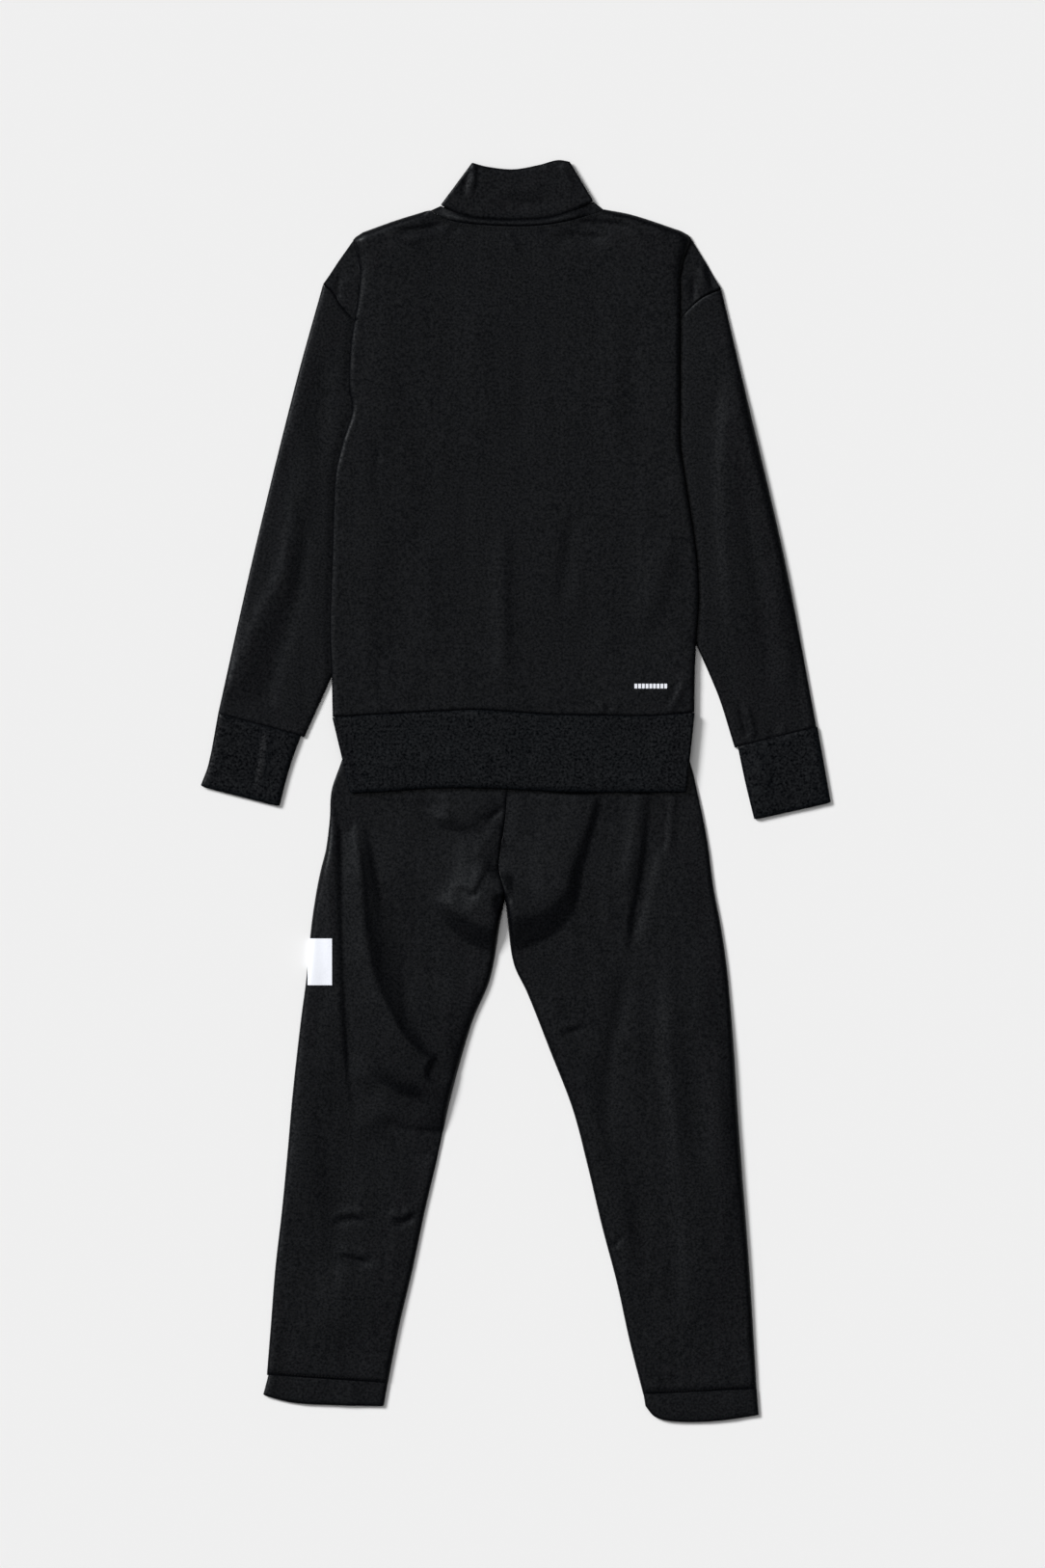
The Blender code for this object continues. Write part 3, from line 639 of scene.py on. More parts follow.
def backMargin(side, foldSpot, across, row, height, count):
    # from the armhole, or from the turned edge, to the flat of the back
    foldSpot, across = np.array(foldSpot), np.array(across)
    inward = (across - foldSpot) / max(lineLength(foldSpot, across), 1e-6)
    foot = foldSpot + inward * cloth["knit"]
    y = foldSpot[1]
    if y > tuckUp[side]:
        top = shoulderLeft[0] if side == "left" else shoulderRight[-1]
        share = (top[1] - y) / (top[1] - tuckUp[side])
        end = alongLine(armhole[side], share * jacketBack["armholeShown"][side])
        low = mix(cloth["turnedLow"], jacketBack["armholeLow"], ease(row / 20))
        lift = mix(low, cloth["over"], ease((tuckUp[side] + 10 - y) / 10))
    else:
        end = foot
        lift = mix(cloth["over"] + cloth["turnedLow"], cloth["over"], ease((y - 310) / 30))
    curl = jacketBack["edge"] - cloth["knit"]
    turns = np.linspace(0, math.pi / 2, 14)
    spots = [foot + inward * curl * (1 - math.cos(turn)) for turn in turns]
    heights = [mix(lift, height, math.sin(turn)) for turn in turns]
    if lineLength(end, foot) > 0.5:
        spots, heights = [end] + spots, [lift] + heights
    spots = np.column_stack([np.array(spots), heights])
    runs = np.concatenate([[0], np.cumsum(np.linalg.norm(np.diff(spots, axis=0), axis=1))])
    want = np.linspace(0, runs[-1], count + 1)[:-1]
    return np.column_stack([np.interp(want, runs, spots[:, k]) for k in range(3)])


def makeJacketBack():
    settings = jacketBack
    slope, neck, margin = settings["columns"]
    top = np.concatenate([
        alongLine(shoulderLeft[1:], np.linspace(0, 1, slope + 1))[:-1],
        alongLine(neckLine, np.linspace(0, 1, neck + 1))[:-1],
        alongLine(shoulderRight[:-1], np.linspace(0, 1, slope + 1)),
    ])
    acrossTop = (top[:, 0] - top[0, 0]) / (top[-1, 0] - top[0, 0])
    leftUp, rightUp = shoulderLeft[0][1], shoulderRight[-1][1]
    hemLeft, hemRight = hemSeam[0][1] + cloth["hemGap"], hemSeam[-1][1] + cloth["hemGap"]
    downs = spacing(leftUp - hemLeft, settings["step"])
    edge = settings["edge"]
    leftTop = np.array([shoulderLeft[0][0] + edge, leftUp])
    rightTop = np.array([shoulderRight[-1][0] - edge, rightUp])
    chord = mix(leftTop, rightTop, acrossTop[:, None])
    leftFolds, rightFolds, flats = [], [], []
    for down in downs:
        leftY, rightY = mix(leftUp, hemLeft, down), mix(rightUp, hemRight, down)
        leftFold = np.array([bodySide("left", leftY), leftY])
        rightFold = np.array([bodySide("right", rightY), rightY])
        run = (rightFold - leftFold) / lineLength(leftFold, rightFold)
        straight = mix(leftFold + run * edge, rightFold - run * edge, acrossTop[:, None])
        flat = straight + (1 - down) * (top - chord)
        hemShift = lineY(hemSeam, flat[:, 0]) + cloth["hemGap"] - mix(hemLeft, hemRight, acrossTop)
        flat[:, 1] += ease((down - 0.7) / 0.3) * hemShift
        leftFolds.append(leftFold)
        rightFolds.append(rightFold)
        flats.append(flat)
    x, y = np.moveaxis(np.array(flats), -1, 0)
    # the back stands higher over the sleeves and the trousers, and goes down at the shoulders
    overLegs = ease((settings["legsTop"] - y) / settings["legsRise"])
    wider = settings["wider"]
    overSleeves = ease((np.abs(x - 3) - settings["between"] - wider * ease((360 - y) / 200)) / wider)
    z = mix(settings["low"], settings["high"], np.maximum(overLegs, overSleeves))
    fromTop = downs[:, None] * (leftUp - hemLeft)
    shoulderZ = mix(cloth["turnedLow"], z, roundEdge(fromTop, settings["shoulderRound"]))
    neckZ = mix(settings["neckHeight"], z, ease(fromTop / settings["neckReach"]))
    z = mix(shoulderZ, neckZ, ease((settings["neckHalf"] - np.abs(x)) / 12))
    z += foldHeight(settings["folds"] + gathers(hemSeam, *settings["gathers"]), x, y)
    z += sum(drift(x, y, *wave) for wave in settings["drifts"])
    z -= seamDip(y - lineY(hemSeam, x), *settings["hemDip"])
    armholeFolds = settings["folds"][-4:]
    grid = []
    for r, leftFold in enumerate(leftFolds):
        left = backMargin("left", leftFold, flats[r][0], r, z[r, 0], margin)
        right = backMargin("right", rightFolds[r], flats[r][-1], r, z[r, -1], margin)
        for part in (left, right):
            part[:, 2] += foldHeight(armholeFolds, part[:, 0], part[:, 1])
        grid.append(np.concatenate([left, np.column_stack([x[r], y[r], z[r]]), right[::-1]]))
    piece = makeShell("jacketBack", np.array(grid), cloth["knit"], jacketTricot, "jacket_back")
    return piece


# Sleeves and cuffs

sleeves = {
    "left": {
        "seed": 3.0,
        "outer": [(-190, 499), (-217.5, 399.5), (-259.5, 228.5), (-293.5, 76.5)],
        "inner": [(-70, 371), (-140, 209), (-180.5, 114.5), (-208, 53.5)],
        "folds": [
            fold(1.8, 16, 9, (-216, 330), (-224, 228), (-251, 171), (-276, 114), (-288, 84), end=0.1),
            fold(-1.2, 9, 12, (-199, 300), (-215, 200), (-238, 120), (-250, 74), end=0.1),
            fold(0.9, 10, 10, (-206, 460), (-214, 390), (-226, 320)),
            fold(-0.8, 8, 8, (-186, 440), (-190, 380), (-196, 320)),
        ],
    },
    "right": {
        "seed": 5.0,
        "outer": [(202.5, 494.5), (225, 399.5), (265, 228.5), (296.5, 63)],
        "inner": [(76, 369), (142, 221), (197, 100), (215.5, 43)],
        "folds": [
            fold(2.6, 44, 8, (212, 415), (205, 325), (210, 215), (215, 170), (220, 130), start=0.2),
            fold(2.2, 10, 34, (218, 470), (228, 400), (248, 300), (268, 200), (282, 120), start=0.1, end=0.2),
            fold(-1, 9, 9, (222, 330), (232, 240), (246, 150), (256, 90), end=0.2),
            fold(0.9, 8, 10, (250, 230), (262, 160), (274, 90), end=0.2),
            fold(-1.1, 3, 3, (219, 92), (223, 72), (228, 54), start=0.4, end=0.05),
            fold(1, 3, 3.5, (224, 90), (231, 70), (235, 53), start=0.4, end=0.05),
            fold(0.8, 3, 3, (262, 70), (265, 55), start=0.6, end=0.05),
            fold(-0.7, 3, 3, (252, 68), (254, 53), start=0.6, end=0.05),
        ],
    },
}
cuffs = {
    "left": {
        "outer": [(-293.5, 76.5), (-303, 27), (-310.5, 6)],
        "inner": [(-211.5, 54.4), (-222.5, 23.5), (-232.5, -14)],
        "folds": [
            fold(0.9, 3.5, 5, (-244, 58), (-247, 30), (-252, 0), start=0.1, end=0.2),
            fold(-0.9, 4, 4, (-250, 60), (-254, 30), (-259, 0), start=0.1, end=0.2),
        ],
    },
    "right": {
        "outer": [(297.5, 63.2), (304, 27), (310.5, -10)],
        "inner": [(218.5, 43.7), (226, 8), (234.5, -27)],
        "folds": [
            fold(0.6, 8, 8, (236, 48), (244, 10), (250, -20), start=0.2, end=0.2),
            fold(-0.5, 8, 8, (276, 56), (282, 20), (286, -10), start=0.2, end=0.2),
        ],
    },
}
sleeveTube = {
    "step": 2.2,
    "hollow": 1.0,  # room between the layers at the sides
    "crown": 1.1,  # and how much more there is in the middle
    "underBody": 2.2,  # highest it may be below the jacket's body
    "drift": (18, 110, 0.4),
    "puckers": (14, 9, 0.45, 2.4, 11),
    "cuffDip": (0.9, 1.4),
    "armDip": (0.6, 1.4),
}
cuffTube = {
    "step": 1.9,
    "rowStep": 2.0,
    "hollow": 0.6,
    "crown": 1.9,
    "drift": (25, 40, 0.5, 12.0),
    "sleeveDip": (0.9, 1.4),
    "endDip": (1.4, 4.0),
}


def tubeRing(a, b, upper, wall, shape):
    # one ring of a flattened tube: upper layer from left to right, then the lower one flat on the floor
    left, right = (a, b) if a[0] < b[0] else (b, a)
    across = lineLength(left, right)
    run = (right - left) / across
    start, end = left + run * wall, right - run * wall
    gap = np.minimum(upper, 1 - upper) * (across - 2 * wall)
    room = shape["hollow"] / 2
    rise = room + roundEdge(gap, cloth["sideRound"]) * (room + shape["crown"])
    lower = np.linspace(1, 0, 13)[1:-1]
    high = np.column_stack([mix(start, end, upper[:, None]), wall + rise])
    low = np.column_stack([mix(start, end, lower[:, None]), np.full(len(lower), wall)])
    return np.concatenate([high, low])


def tubeGrid(settings, rows, wall, shape):
    outer, inner = settings["outer"], settings["inner"]
    width = lineLength(alongLine(outer, 0.5), alongLine(inner, 0.5))
    upper = spacing(width - 2 * wall, shape["step"], fine=cloth["tubeFine"])
    rings = [tubeRing(alongLine(outer, share), alongLine(inner, share), upper, wall, shape) for share in rows]
    return np.array(rings), len(upper)


def makeSleeve(side, material):
    settings, shape = sleeves[side], sleeveTube
    outer, inner = settings["outer"], settings["inner"]
    length = lineLength(outer[0], outer[-1])
    rows = spacing(length, shape["step"])
    grid, upper = tubeGrid(settings, rows, cloth["knit"], shape)
    # the armhole seam curves, so the first rows follow it
    steps = np.linspace(0, 1, 60)
    curve = alongLine(armhole[side], steps)
    chord = mix(np.array(armhole[side][0]), np.array(armhole[side][-1]), steps[:, None])
    run = chord[-1] - chord[0]
    corner = 0 if side == "left" else upper - 1
    for ring, share in zip(grid, rows):
        fade = ease(1 - share * 7)
        t = np.clip(((ring[:, :2] - ring[corner, :2]) @ run) / (run @ run), 0, 1)
        for k in (0, 1):
            ring[:, k] += fade * np.interp(t, steps, curve[:, k] - chord[:, k])
    top = grid[:, :upper]
    x, y = top[..., 0], top[..., 1]
    free, edgeFade = outsideBody(x, y), edgeShare(upper)
    cuffLine = sorted([outer[-1], inner[-1]])
    extra = foldHeight(settings["folds"] + gathers(cuffLine, *shape["puckers"]), x, y)
    extra += drift(x, y, *shape["drift"], settings["seed"])
    top[..., 2] = mix(np.minimum(top[..., 2], shape["underBody"]), top[..., 2] + edgeFade * extra, free)
    roll = seamDip((1 - rows) * length, *shape["cuffDip"]) + seamDip(rows * length, *shape["armDip"])
    top[..., 2] -= (roll[:, None] * edgeFade) * free
    piece = makeShell(f"sleeve_{side}_tube", grid, cloth["knit"], material, f"sleeve_{side}", ring=True)


def makeCuff(side, material):
    settings, shape = cuffs[side], cuffTube
    length = lineLength(settings["outer"][0], settings["outer"][-1])
    rows = spacing(length, shape["rowStep"])
    grid, upper = tubeGrid(settings, rows, cloth["rib"], shape)
    top = grid[:, :upper]
    x, y = top[..., 0], top[..., 1]
    top[..., 2] += edgeShare(upper) * (foldHeight(settings["folds"], x, y) + drift(x, y, *shape["drift"]))
    roll = seamDip(rows * length, *shape["sleeveDip"]) + endDip((1 - rows) * length, *shape["endDip"])
    top[..., 2] -= roll[:, None] * edgeShare(upper)
    piece = makeShell(f"cuff_{side}_rib", grid, cloth["rib"], material, f"cuff_{side}", ring=True)


jacketBackPiece = makeJacketBack()
for side, tricot, rib in (("left", leftSleeveTricot, leftCuffRib), ("right", rightSleeveTricot, rightCuffRib)):
    makeSleeve(side, tricot)
    makeCuff(side, rib)
print("jacket back, sleeves and cuffs made")


# Hem band and collar: flattened tubes that are open at the centre front

slit = {
    "sideRound": 4.5,
    "half": 5.0,  # from the centre front to each end of the band
    "points": 9,  # of each half of the lower layer
}


def slitRing(line, frontY, wall, low, high, crown):
    left, right = line[0], line[-1]
    across = lineLength(left, right)
    run = (right - left) / across
    gap = np.minimum(np.linspace(0, 1, len(line)), np.linspace(1, 0, len(line))) * across
    rise = (high - low) / 2 + roundEdge(gap, slit["sideRound"]) * ((high - low) / 2 + crown)
    top = line.copy()
    shift = (1 - np.clip(gap / 6, 0, 1)) * wall
    half = len(line) // 2
    top[:half] += run * shift[:half, None]
    top[half:] -= run * shift[half:, None]

    def floorSide(end, sign):
        shares = np.linspace(0, 0.97, slit["points"])
        x = mix(sign * slit["half"], end[0], shares)
        y = mix(frontY(x), end[1], ease((shares - 0.8) / 0.2))
        return np.column_stack([x, y, np.full(len(x), low)])

    upper = np.column_stack([top, low + rise])
    return np.concatenate([floorSide(top[0], -1), upper, floorSide(top[-1], 1)[::-1]])


def slitTube(name, rings, wall, material, node, roll, settings):
    # lays the folds, the unevenness and the dips at both ends on the upper layer
    grid = np.array(rings)
    count = grid.shape[1] - 2 * slit["points"]
    top = grid[:, slit["points"]:slit["points"] + count]
    x, y = top[..., 0], top[..., 1]
    extra = foldHeight(settings["folds"], x, y)
    for wave in settings["drifts"]:
        extra += drift(x, y, *wave)
    top[..., 2] += edgeShare(count) * (extra - roll[:, None])
    return makeShell(name, grid, wall, material, node)


hemBand = {
    "wide": 350,
    "tall": 76,
    "step": 2.0,
    "under": 4.0,
    "hollow": 1.6,
    "crown": 1.5,
    "seamDip": (1.2, 1.5),
    "endDip": (1.6, 4.5),
    "drifts": [(60, 30, 0.7, 21.0), (14, 60, 0.25, 23.0)],
    "folds": [
        fold(-0.8, 10, 12, (70, 48), (110, 52), (150, 44)),
        fold(0.7, 9, 9, (-150, 30), (-90, 36), (-40, 34)),
        fold(0.6, 6, 6, (60, 14), (110, 12), (150, 10)),
        fold(0.8, 3.5, 3.5, (-171, 60), (-168, 34), (-160, 10), start=0.2, end=0.2),
        fold(-0.6, 6, 6, (10, 66), (14, 40), (10, 16)),
    ],
}


def makeHemBand():
    settings, wall, tall = hemBand, cloth["rib"], hemBand["tall"]
    seam = [(x, y - cloth["seam"]) for x, y in hemSeam]
    shares, rows = spacing(settings["wide"], settings["step"]), spacing(tall, settings["step"])
    upperLine, lowerLine = alongLine(seam, shares), alongLine(bandBottom, shares)
    low = settings["under"] + wall
    rings = []
    for share in rows:
        line, high = mix(upperLine, lowerLine, share), low + settings["hollow"]
        spots = line[::12]
        rings.append(slitRing(line, lambda x: lineY(spots, x), wall, low, high, settings["crown"]))
    roll = seamDip(rows * tall, *settings["seamDip"]) + endDip((1 - rows) * tall, *settings["endDip"])
    piece = slitTube("hemBand", rings, wall, bandRib, "hem_band", roll, settings)


collar = {
    "wide": 150,
    "tall": 50,
    "step": 1.8,
    "hollow": 3.6,
    "crown": 0.4,
    "frontGap": 2.6,  # from the front neck seam to the collar's lower edge
    "seamDip": (1.0, 1.4),
    "endDip": (1.5, 4.0),
    "drifts": [(20, 40, 0.4, 31.0)],
    "seam": [(-74, 577), (-59, 570.5), (-39, 565), (1, 563), (40, 566.5), (76.5, 581)],
    "top": [(-43.5, 618), (-28, 614), (-2, 611.5), (24, 616), (41, 620.5), (53.5, 619)],
    "frontNeck": [(0, 508), (20, 511), (44, 526), (64, 546), (76, 560), (85, 571.5)],
    "folds": [
        fold(1.6, 2.6, 4.5, (-41, 619), (-42, 600), (-45, 582), start=0.05, end=0.5),
        fold(-1, 5, 3, (-46, 614), (-50, 598), (-54, 584), start=0.1, end=0.4),
        fold(0.7, 7, 7, (-20, 600), (4, 592), (34, 600)),
        fold(-0.7, 6, 6, (-30, 580), (4, 576), (46, 584)),
        fold(0.8, 3, 4, (46, 618), (52, 602), (60, 588), start=0.1, end=0.4),
    ],
}


def makeCollar():
    settings, wall, wide, tall = collar, cloth["knit"], collar["wide"], collar["tall"]
    shares, rows = spacing(wide, settings["step"]), spacing(tall, settings["step"])
    seamLine, topLine = alongLine(settings["seam"], shares), alongLine(settings["top"], shares)
    rings = []
    for share in rows:
        rise = 1 - share

        def frontY(x, rise=rise):
            lowerEdge = lineY(settings["frontNeck"], np.abs(x)) + settings["frontGap"]
            return lowerEdge + rise * tall * (1 - (x / wide) ** 2)

        line, high = mix(seamLine, topLine, rise), wall + settings["hollow"]
        rings.append(slitRing(line, frontY, wall, wall, high, settings["crown"]))
    roll = endDip(rows * tall, *settings["endDip"]) + seamDip((1 - rows) * tall, *settings["seamDip"])
    piece = slitTube("collarStand", rings, wall, jacketTricot, "collar", roll, settings)


neckBand = {
    "wide": 165,
    "step": 1.8,
    "rows": (0.0, 0.06, 0.16, 0.3, 0.5, 0.7, 0.84, 0.94, 1.0),  # shares of its width, from the collar down
    "shift": (-0.6, 0.3),  # of the upper and the lower edge in y
    "heights": (5.0, 5.9),
    "crown": 0.7,
    "upperDip": (0.5, 0.1),
    "lowerDip": (1.3, 0.16),
}


def makeNeckBand():
    settings = neckBand
    shares = spacing(settings["wide"], settings["step"])
    upperLine, lowerLine = alongLine(collar["seam"], shares), alongLine(neckLine, shares)
    sides = ease(5 * shares) * ease(5 * (1 - shares))
    grid = []
    for share in settings["rows"]:
        line = mix(upperLine, lowerLine, share)
        line[:, 1] += mix(*settings["shift"], share)
        z = mix(cloth["turnedLow"], mix(*settings["heights"], share), sides)
        z += settings["crown"] * math.sin(math.pi * share) * sides
        z -= (seamDip(share, *settings["upperDip"]) + seamDip(1 - share, *settings["lowerDip"])) * sides
        grid.append(np.column_stack([line, z]))
    piece = makeShell("neckBand", np.array(grid), cloth["knit"], jacketTricot, "neck_band")
    return piece


makeHemBand()
makeCollar()
neckBandPiece = makeNeckBand()
print("hem band, collar and neck band made")

# Trousers

legs = {
    "left": {
        "area": 0.107,  # square metres of one panel as cut
        "seeds": (41.0, 43.0),
        "seamDip": (1.7, 1.5),
        "up": [-583, -527, -470, -413, -356, -299, -227, -185, -133, -99, -77, -57, -28, 0, 24, 62, 99],
        "outer": [
            -246, -241.5, -237, -230.5, -225, -220, -212, -206.5, -201.5, -196.5, -192, -187, -183.5, -182, -174,
            -160, -139,
        ],
        "inner": [-126, -115, -101.5, -89.5, -76, -63.5, -43, -25.5, -16, -11, -16.5, -15, -10.5, -8.5, -7, -4, -1],
        "seam": [(-244, -575), (-126, -583)],
        "end": [(-249, -594), (-219, -601.5), (-175, -604), (-130, -605)],
        "folds": [
            crest(
                (2.5, 5, 7, 8, 7, 6, 4, 3), 46.0, (9, 18, 28, 32, 26, 18, 11, 8), (-78, -267), (-95, -257),
                (-112, -239), (-124, -217), (-134, -197), (-143, -168), (-149, -130), (-151, -96), (-154, -64),
                (-159, -20), (-163, 4), start=0.03,
            ),
            fold(1.2, 5, 7, (-156, -10), (-148, -56), (-141, -100), (-134, -140), start=0.1, end=0.4),
            fold(
                -2.6, 24.0, 4.0, (-173, 0), (-171, -75), (-170, -132), (-168, -194), (-165, -250), (-160, -304),
                (-151, -343), start=0.02,
            ),
            fold(1, 6, 6, (-184, -30), (-184, -110), (-184, -200), start=0.2, end=0.4),
            drop(
                (1.6, 3.6, 5.6, 6.2, 6.2), (8, 16, 24, 26, 26), 70.0, (-88, -93), (-82, -110), (-76, -121),
                (-66, -134), (-50, -148), (-33, -155), (-17, -159), start=0.35, end=0.05,
            ),
            drop(2.8, (9, 13, 13), 30, (-96, -22), (-76, -36), (-50, -41), (-28, -44), start=0.4),
            fold(-1.4, 3, 3.5, (-10, -14), (-18, -22), (-30, -30), start=0.2, end=0.4),
            fold(0.7, 6, 6, (-14, -34), (-30, -50), (-42, -72), start=0.2),
            fold(-2.8, 10, 30, (-146, -272), (-134, -287), (-116, -299), (-96, -304), (-80, -302), start=0.35),
            fold(-2.8, 9, 30, (-138, -318), (-124, -332), (-104, -340), (-66, -338), end=0.1),
            fold(-1, 4, 4, (-184, -427), (-161, -422), (-143, -426)),
            fold(0.9, 4, 5, (-184, -419), (-161, -414), (-143, -418)),
            fold(-1.3, 4, 4, (-125, -422), (-113, -426), (-97, -417)),
            fold(1.1, 5, 4, (-126, -414), (-112, -418), (-98, -408)),
            fold(-1.2, 4, 4, (-178, -457), (-163, -462), (-139, -466)),
            fold(1, 5, 5, (-176, -449), (-162, -454), (-140, -458)),
            fold(2.6, 34, 22, (-160, -455), (-170, -490), (-172, -520), (-166, -556), start=0.4, end=0.4),
            fold(1.3, 9, 24, (-34, -168), (-52, -218), (-68, -268), (-76, -310), start=0.25),
            fold(3, 50, 36, (-92, -175), (-98, -250), (-108, -330)),
            fold(1.4, 16, 14, (-205, -250), (-206, -340), (-214, -440)),
            fold(-1.2, 18, 18, (-176, -330), (-172, -400), (-190, -520)),
        ],
    },
    "right": {
        "area": 0.116,
        "seeds": (47.0, 49.0),
        "seamDip": (0.9, 7.0),
        "up": [-594, -541, -484, -427, -370, -313, -256, -199, -170, -133, -99, -77, -57, -28, 0, 24, 62, 99],
        "outer": [
            237.5, 234.5, 231, 227, 222.5, 218.5, 215, 210.5, 207.5, 202, 195.5, 192.5, 190, 185, 179, 173.5, 160,
            139,
        ],
        "inner": [125.5, 112, 99.5, 84.5, 71, 56, 34, 11.5, -2, -7.5, -11, -16.5, -15, -10.5, -8.5, -7, -4, -1],
        "seam": [(237.5, -588.5), (125.5, -594)],
        "end": [(239.5, -614), (196, -620), (160, -620.5), (138, -616), (127.5, -604)],
        "folds": [
            drop(
                (7.6, 7.6, 7, 5.5, 4, 3.2, 2.8), (38, 36, 28, 17, 11, 9, 8), 44.0, (-12, -163), (14, -153),
                (38, -141), (52, -127), (62, -104), (66, -80), (72, -56), (80, -28), (87, 4), start=0.08, end=0.12,
            ),
            fold(1.4, 8, 7, (124, 2), (118, -43), (112, -76), (106, -107), start=0.05),
            fold(-3.2, 8, 4.5, (142, 0), (133, -43), (128, -76), (122, -107), (117, -130), (112, -170), start=0.01),
            fold(
                -1.4, 8.0, 9.0, (111, -150), (103, -218), (95, -249), (91, -297), (90, -343), (93, -407), start=0.2,
                end=0.4,
            ),
            fold(-1.3, 2.6, 2.6, (146, -4), (146, -30), (144, -64), start=0.05, end=0.2),
            fold(0.9, 3, 3, (154, -4), (153, -30), (151, -64), start=0.05, end=0.2),
            fold(-0.9, 2.8, 2.8, (95, -452), (106, -436)),
            fold(
                3.4, 60.0, 8.5, (152, -140), (151, -220), (156, -300), (164, -400), (170, -470), (167, -545),
                start=0.25, end=0.2,
            ),
            fold(-1.4, 14, 14, (176, -220), (180, -300), (190, -400)),
            fold(-0.9, 3, 3, (40, -241), (54, -238), (69, -232)),
            fold(0.8, 3.5, 3.5, (42, -234), (56, -230), (70, -225)),
            fold(1.6, 14, 12, (210, -470), (206, -400), (202, -330), (196, -260), (190, -200)),
            fold(1.5, 12, 12, (76, -300), (98, -400), (120, -500)),
            fold(-1, 10, 10, (130, -480), (140, -540)),
            fold(1.2, 14, 12, (26, -180), (50, -250), (66, -300)),
        ],
    },
}
trousers = {
    "top": 98.7,  # these five are heights on the layout
    "showing": 4,
    "jacketEnd": -6,
    "seatEnd": -86,
    "crotch": -99,
    "width": 135,  # of a leg, for the spacing of its columns
    "hollow": 2.4,
    "hollowUnderJacket": 1.1,
    "lowest": 0.9,  # least room that a trough leaves over the front
    "edge": 5.0,
    "step": 1.75,  # between rows, and between columns
    "columnStep": 1.65,
    "frontInset": 0.4,  # the front's edge lies this far inside the back's turned edge
    "drifts": ((22, 90, 0.55), (70, 130, 1.1)),
    "hemDip": (1.5, 2.0),
    "crotchFolds": [
        drop(1.5, (3, 3.5, 3), 26, (-42, -105), (-33, -88), (-24, -67), start=0.2, end=0.4),
        drop(2.6, (7, 9, 7), 44, (-6, -108), (-3, -97), (-3, -87), (-6, -74), start=0.15, end=0.4),
        crest(0.6, 10, (8, 10, 8), (-44, -104), (-37, -113), (-28, -118.5), (-15, -113), start=0.15, end=0.1),
    ],
}

legHem = {
    "wide": 114,
    "step": 2.0,
    "hollow": 1.6,
    "crown": 1.1,
    "drift": (30, 60, 0.7, 55.0),
    "seamDip": (0.1, 1.2),
    "endDip": (1.2, 3.5),
}


def legOutline(side, seat, down):
    # the outer and the inner edge from the waist to the hem's seam, with the width and the way between them
    settings = legs[side]
    edges = []
    for edge, spot in zip(("outer", "inner"), settings["seam"]):
        up = np.concatenate([seat, mix(trousers["crotch"], spot[1] + cloth["hemGap"], down)])
        edges.append(np.column_stack([curveAt(settings["up"], settings[edge], up), up]))
    outer, inner = edges
    width = np.hypot(*(inner - outer).T)
    return outer, inner, width, (inner - outer) / width[:, None]


def makeLegBack(side, material):
    settings, shape = legs[side], trousers
    long = shape["crotch"] - (settings["seam"][1][1] + cloth["hemGap"])
    seat = np.concatenate([
        np.linspace(shape["top"], shape["showing"], 24)[:-1],
        np.linspace(shape["showing"], shape["crotch"], 64)[:-1],
    ])
    down = spacing(long, shape["step"], fine=(0.0, 2.0, 4.0))
    down = np.concatenate([down[:-3], 1 - np.array([2.8, 1.6, 0.8, 0.3, 0.0]) / long])
    outer, inner, _, run = legOutline(side, seat, down)
    outerUp, innerUp = outer[:, 1:], inner[:, 1:]
    parted = ease((shape["seatEnd"] - innerUp) / 40)
    start = outer + run * cloth["knit"]
    end = inner - run * mix(cloth["seam"] / 6, cloth["knit"], parted)
    across = spacing(shape["width"], shape["columnStep"])
    spots = mix(start[:, None, :], end[:, None, :], across[None, :, None])
    x, y = spots[..., 0], spots[..., 1]
    reach = np.hypot(*(end - start).T)[:, None]
    fromOuter, fromInner = across[None, :] * reach, (1 - across[None, :]) * reach
    clear = ease((shape["jacketEnd"] - outerUp) / 90)
    creased = ease((2 - outerUp) / 10)
    middle = cloth["knit"] + mix(shape["hollowUnderJacket"], shape["hollow"], clear)
    extra = foldHeight(settings["folds"] + shape["crotchFolds"], x, y)
    for wave, seed in zip(shape["drifts"], settings["seeds"]):
        extra += drift(x, y, *wave, seed)
    body = np.maximum(middle + clear * 0.7 + creased * extra, cloth["knit"] + shape["lowest"])
    outerRound = roundEdge(fromOuter, shape["edge"])
    innerRound = mix(1.0, roundEdge(fromInner, shape["edge"]), parted)
    z = mix(cloth["turnedLow"], body, outerRound)
    z = mix(np.minimum(mix(middle, cloth["turnedLow"], parted), z), z, innerRound)
    # the centre back seam pulls both edges down, and so does the hem's seam
    seamShows = (1 - parted) * ease((shape["jacketEnd"] + 8 - outerUp) / 10)
    z -= seamDip(fromInner, *settings["seamDip"]) * seamShows
    fromHem = (1 - np.concatenate([np.zeros(len(seat)), down])) * long
    z -= seamDip(fromHem, *shape["hemDip"])[:, None] * outerRound * innerRound
    grid = np.stack([x, y, np.maximum(z, cloth["turnedLow"] - 0.1)], axis=-1)
    if side == "right":
        grid = grid[:, ::-1]
    piece = makeShell(f"legBack_{side}", grid, cloth["knit"], material, f"trouser_back_{side}")
    return piece


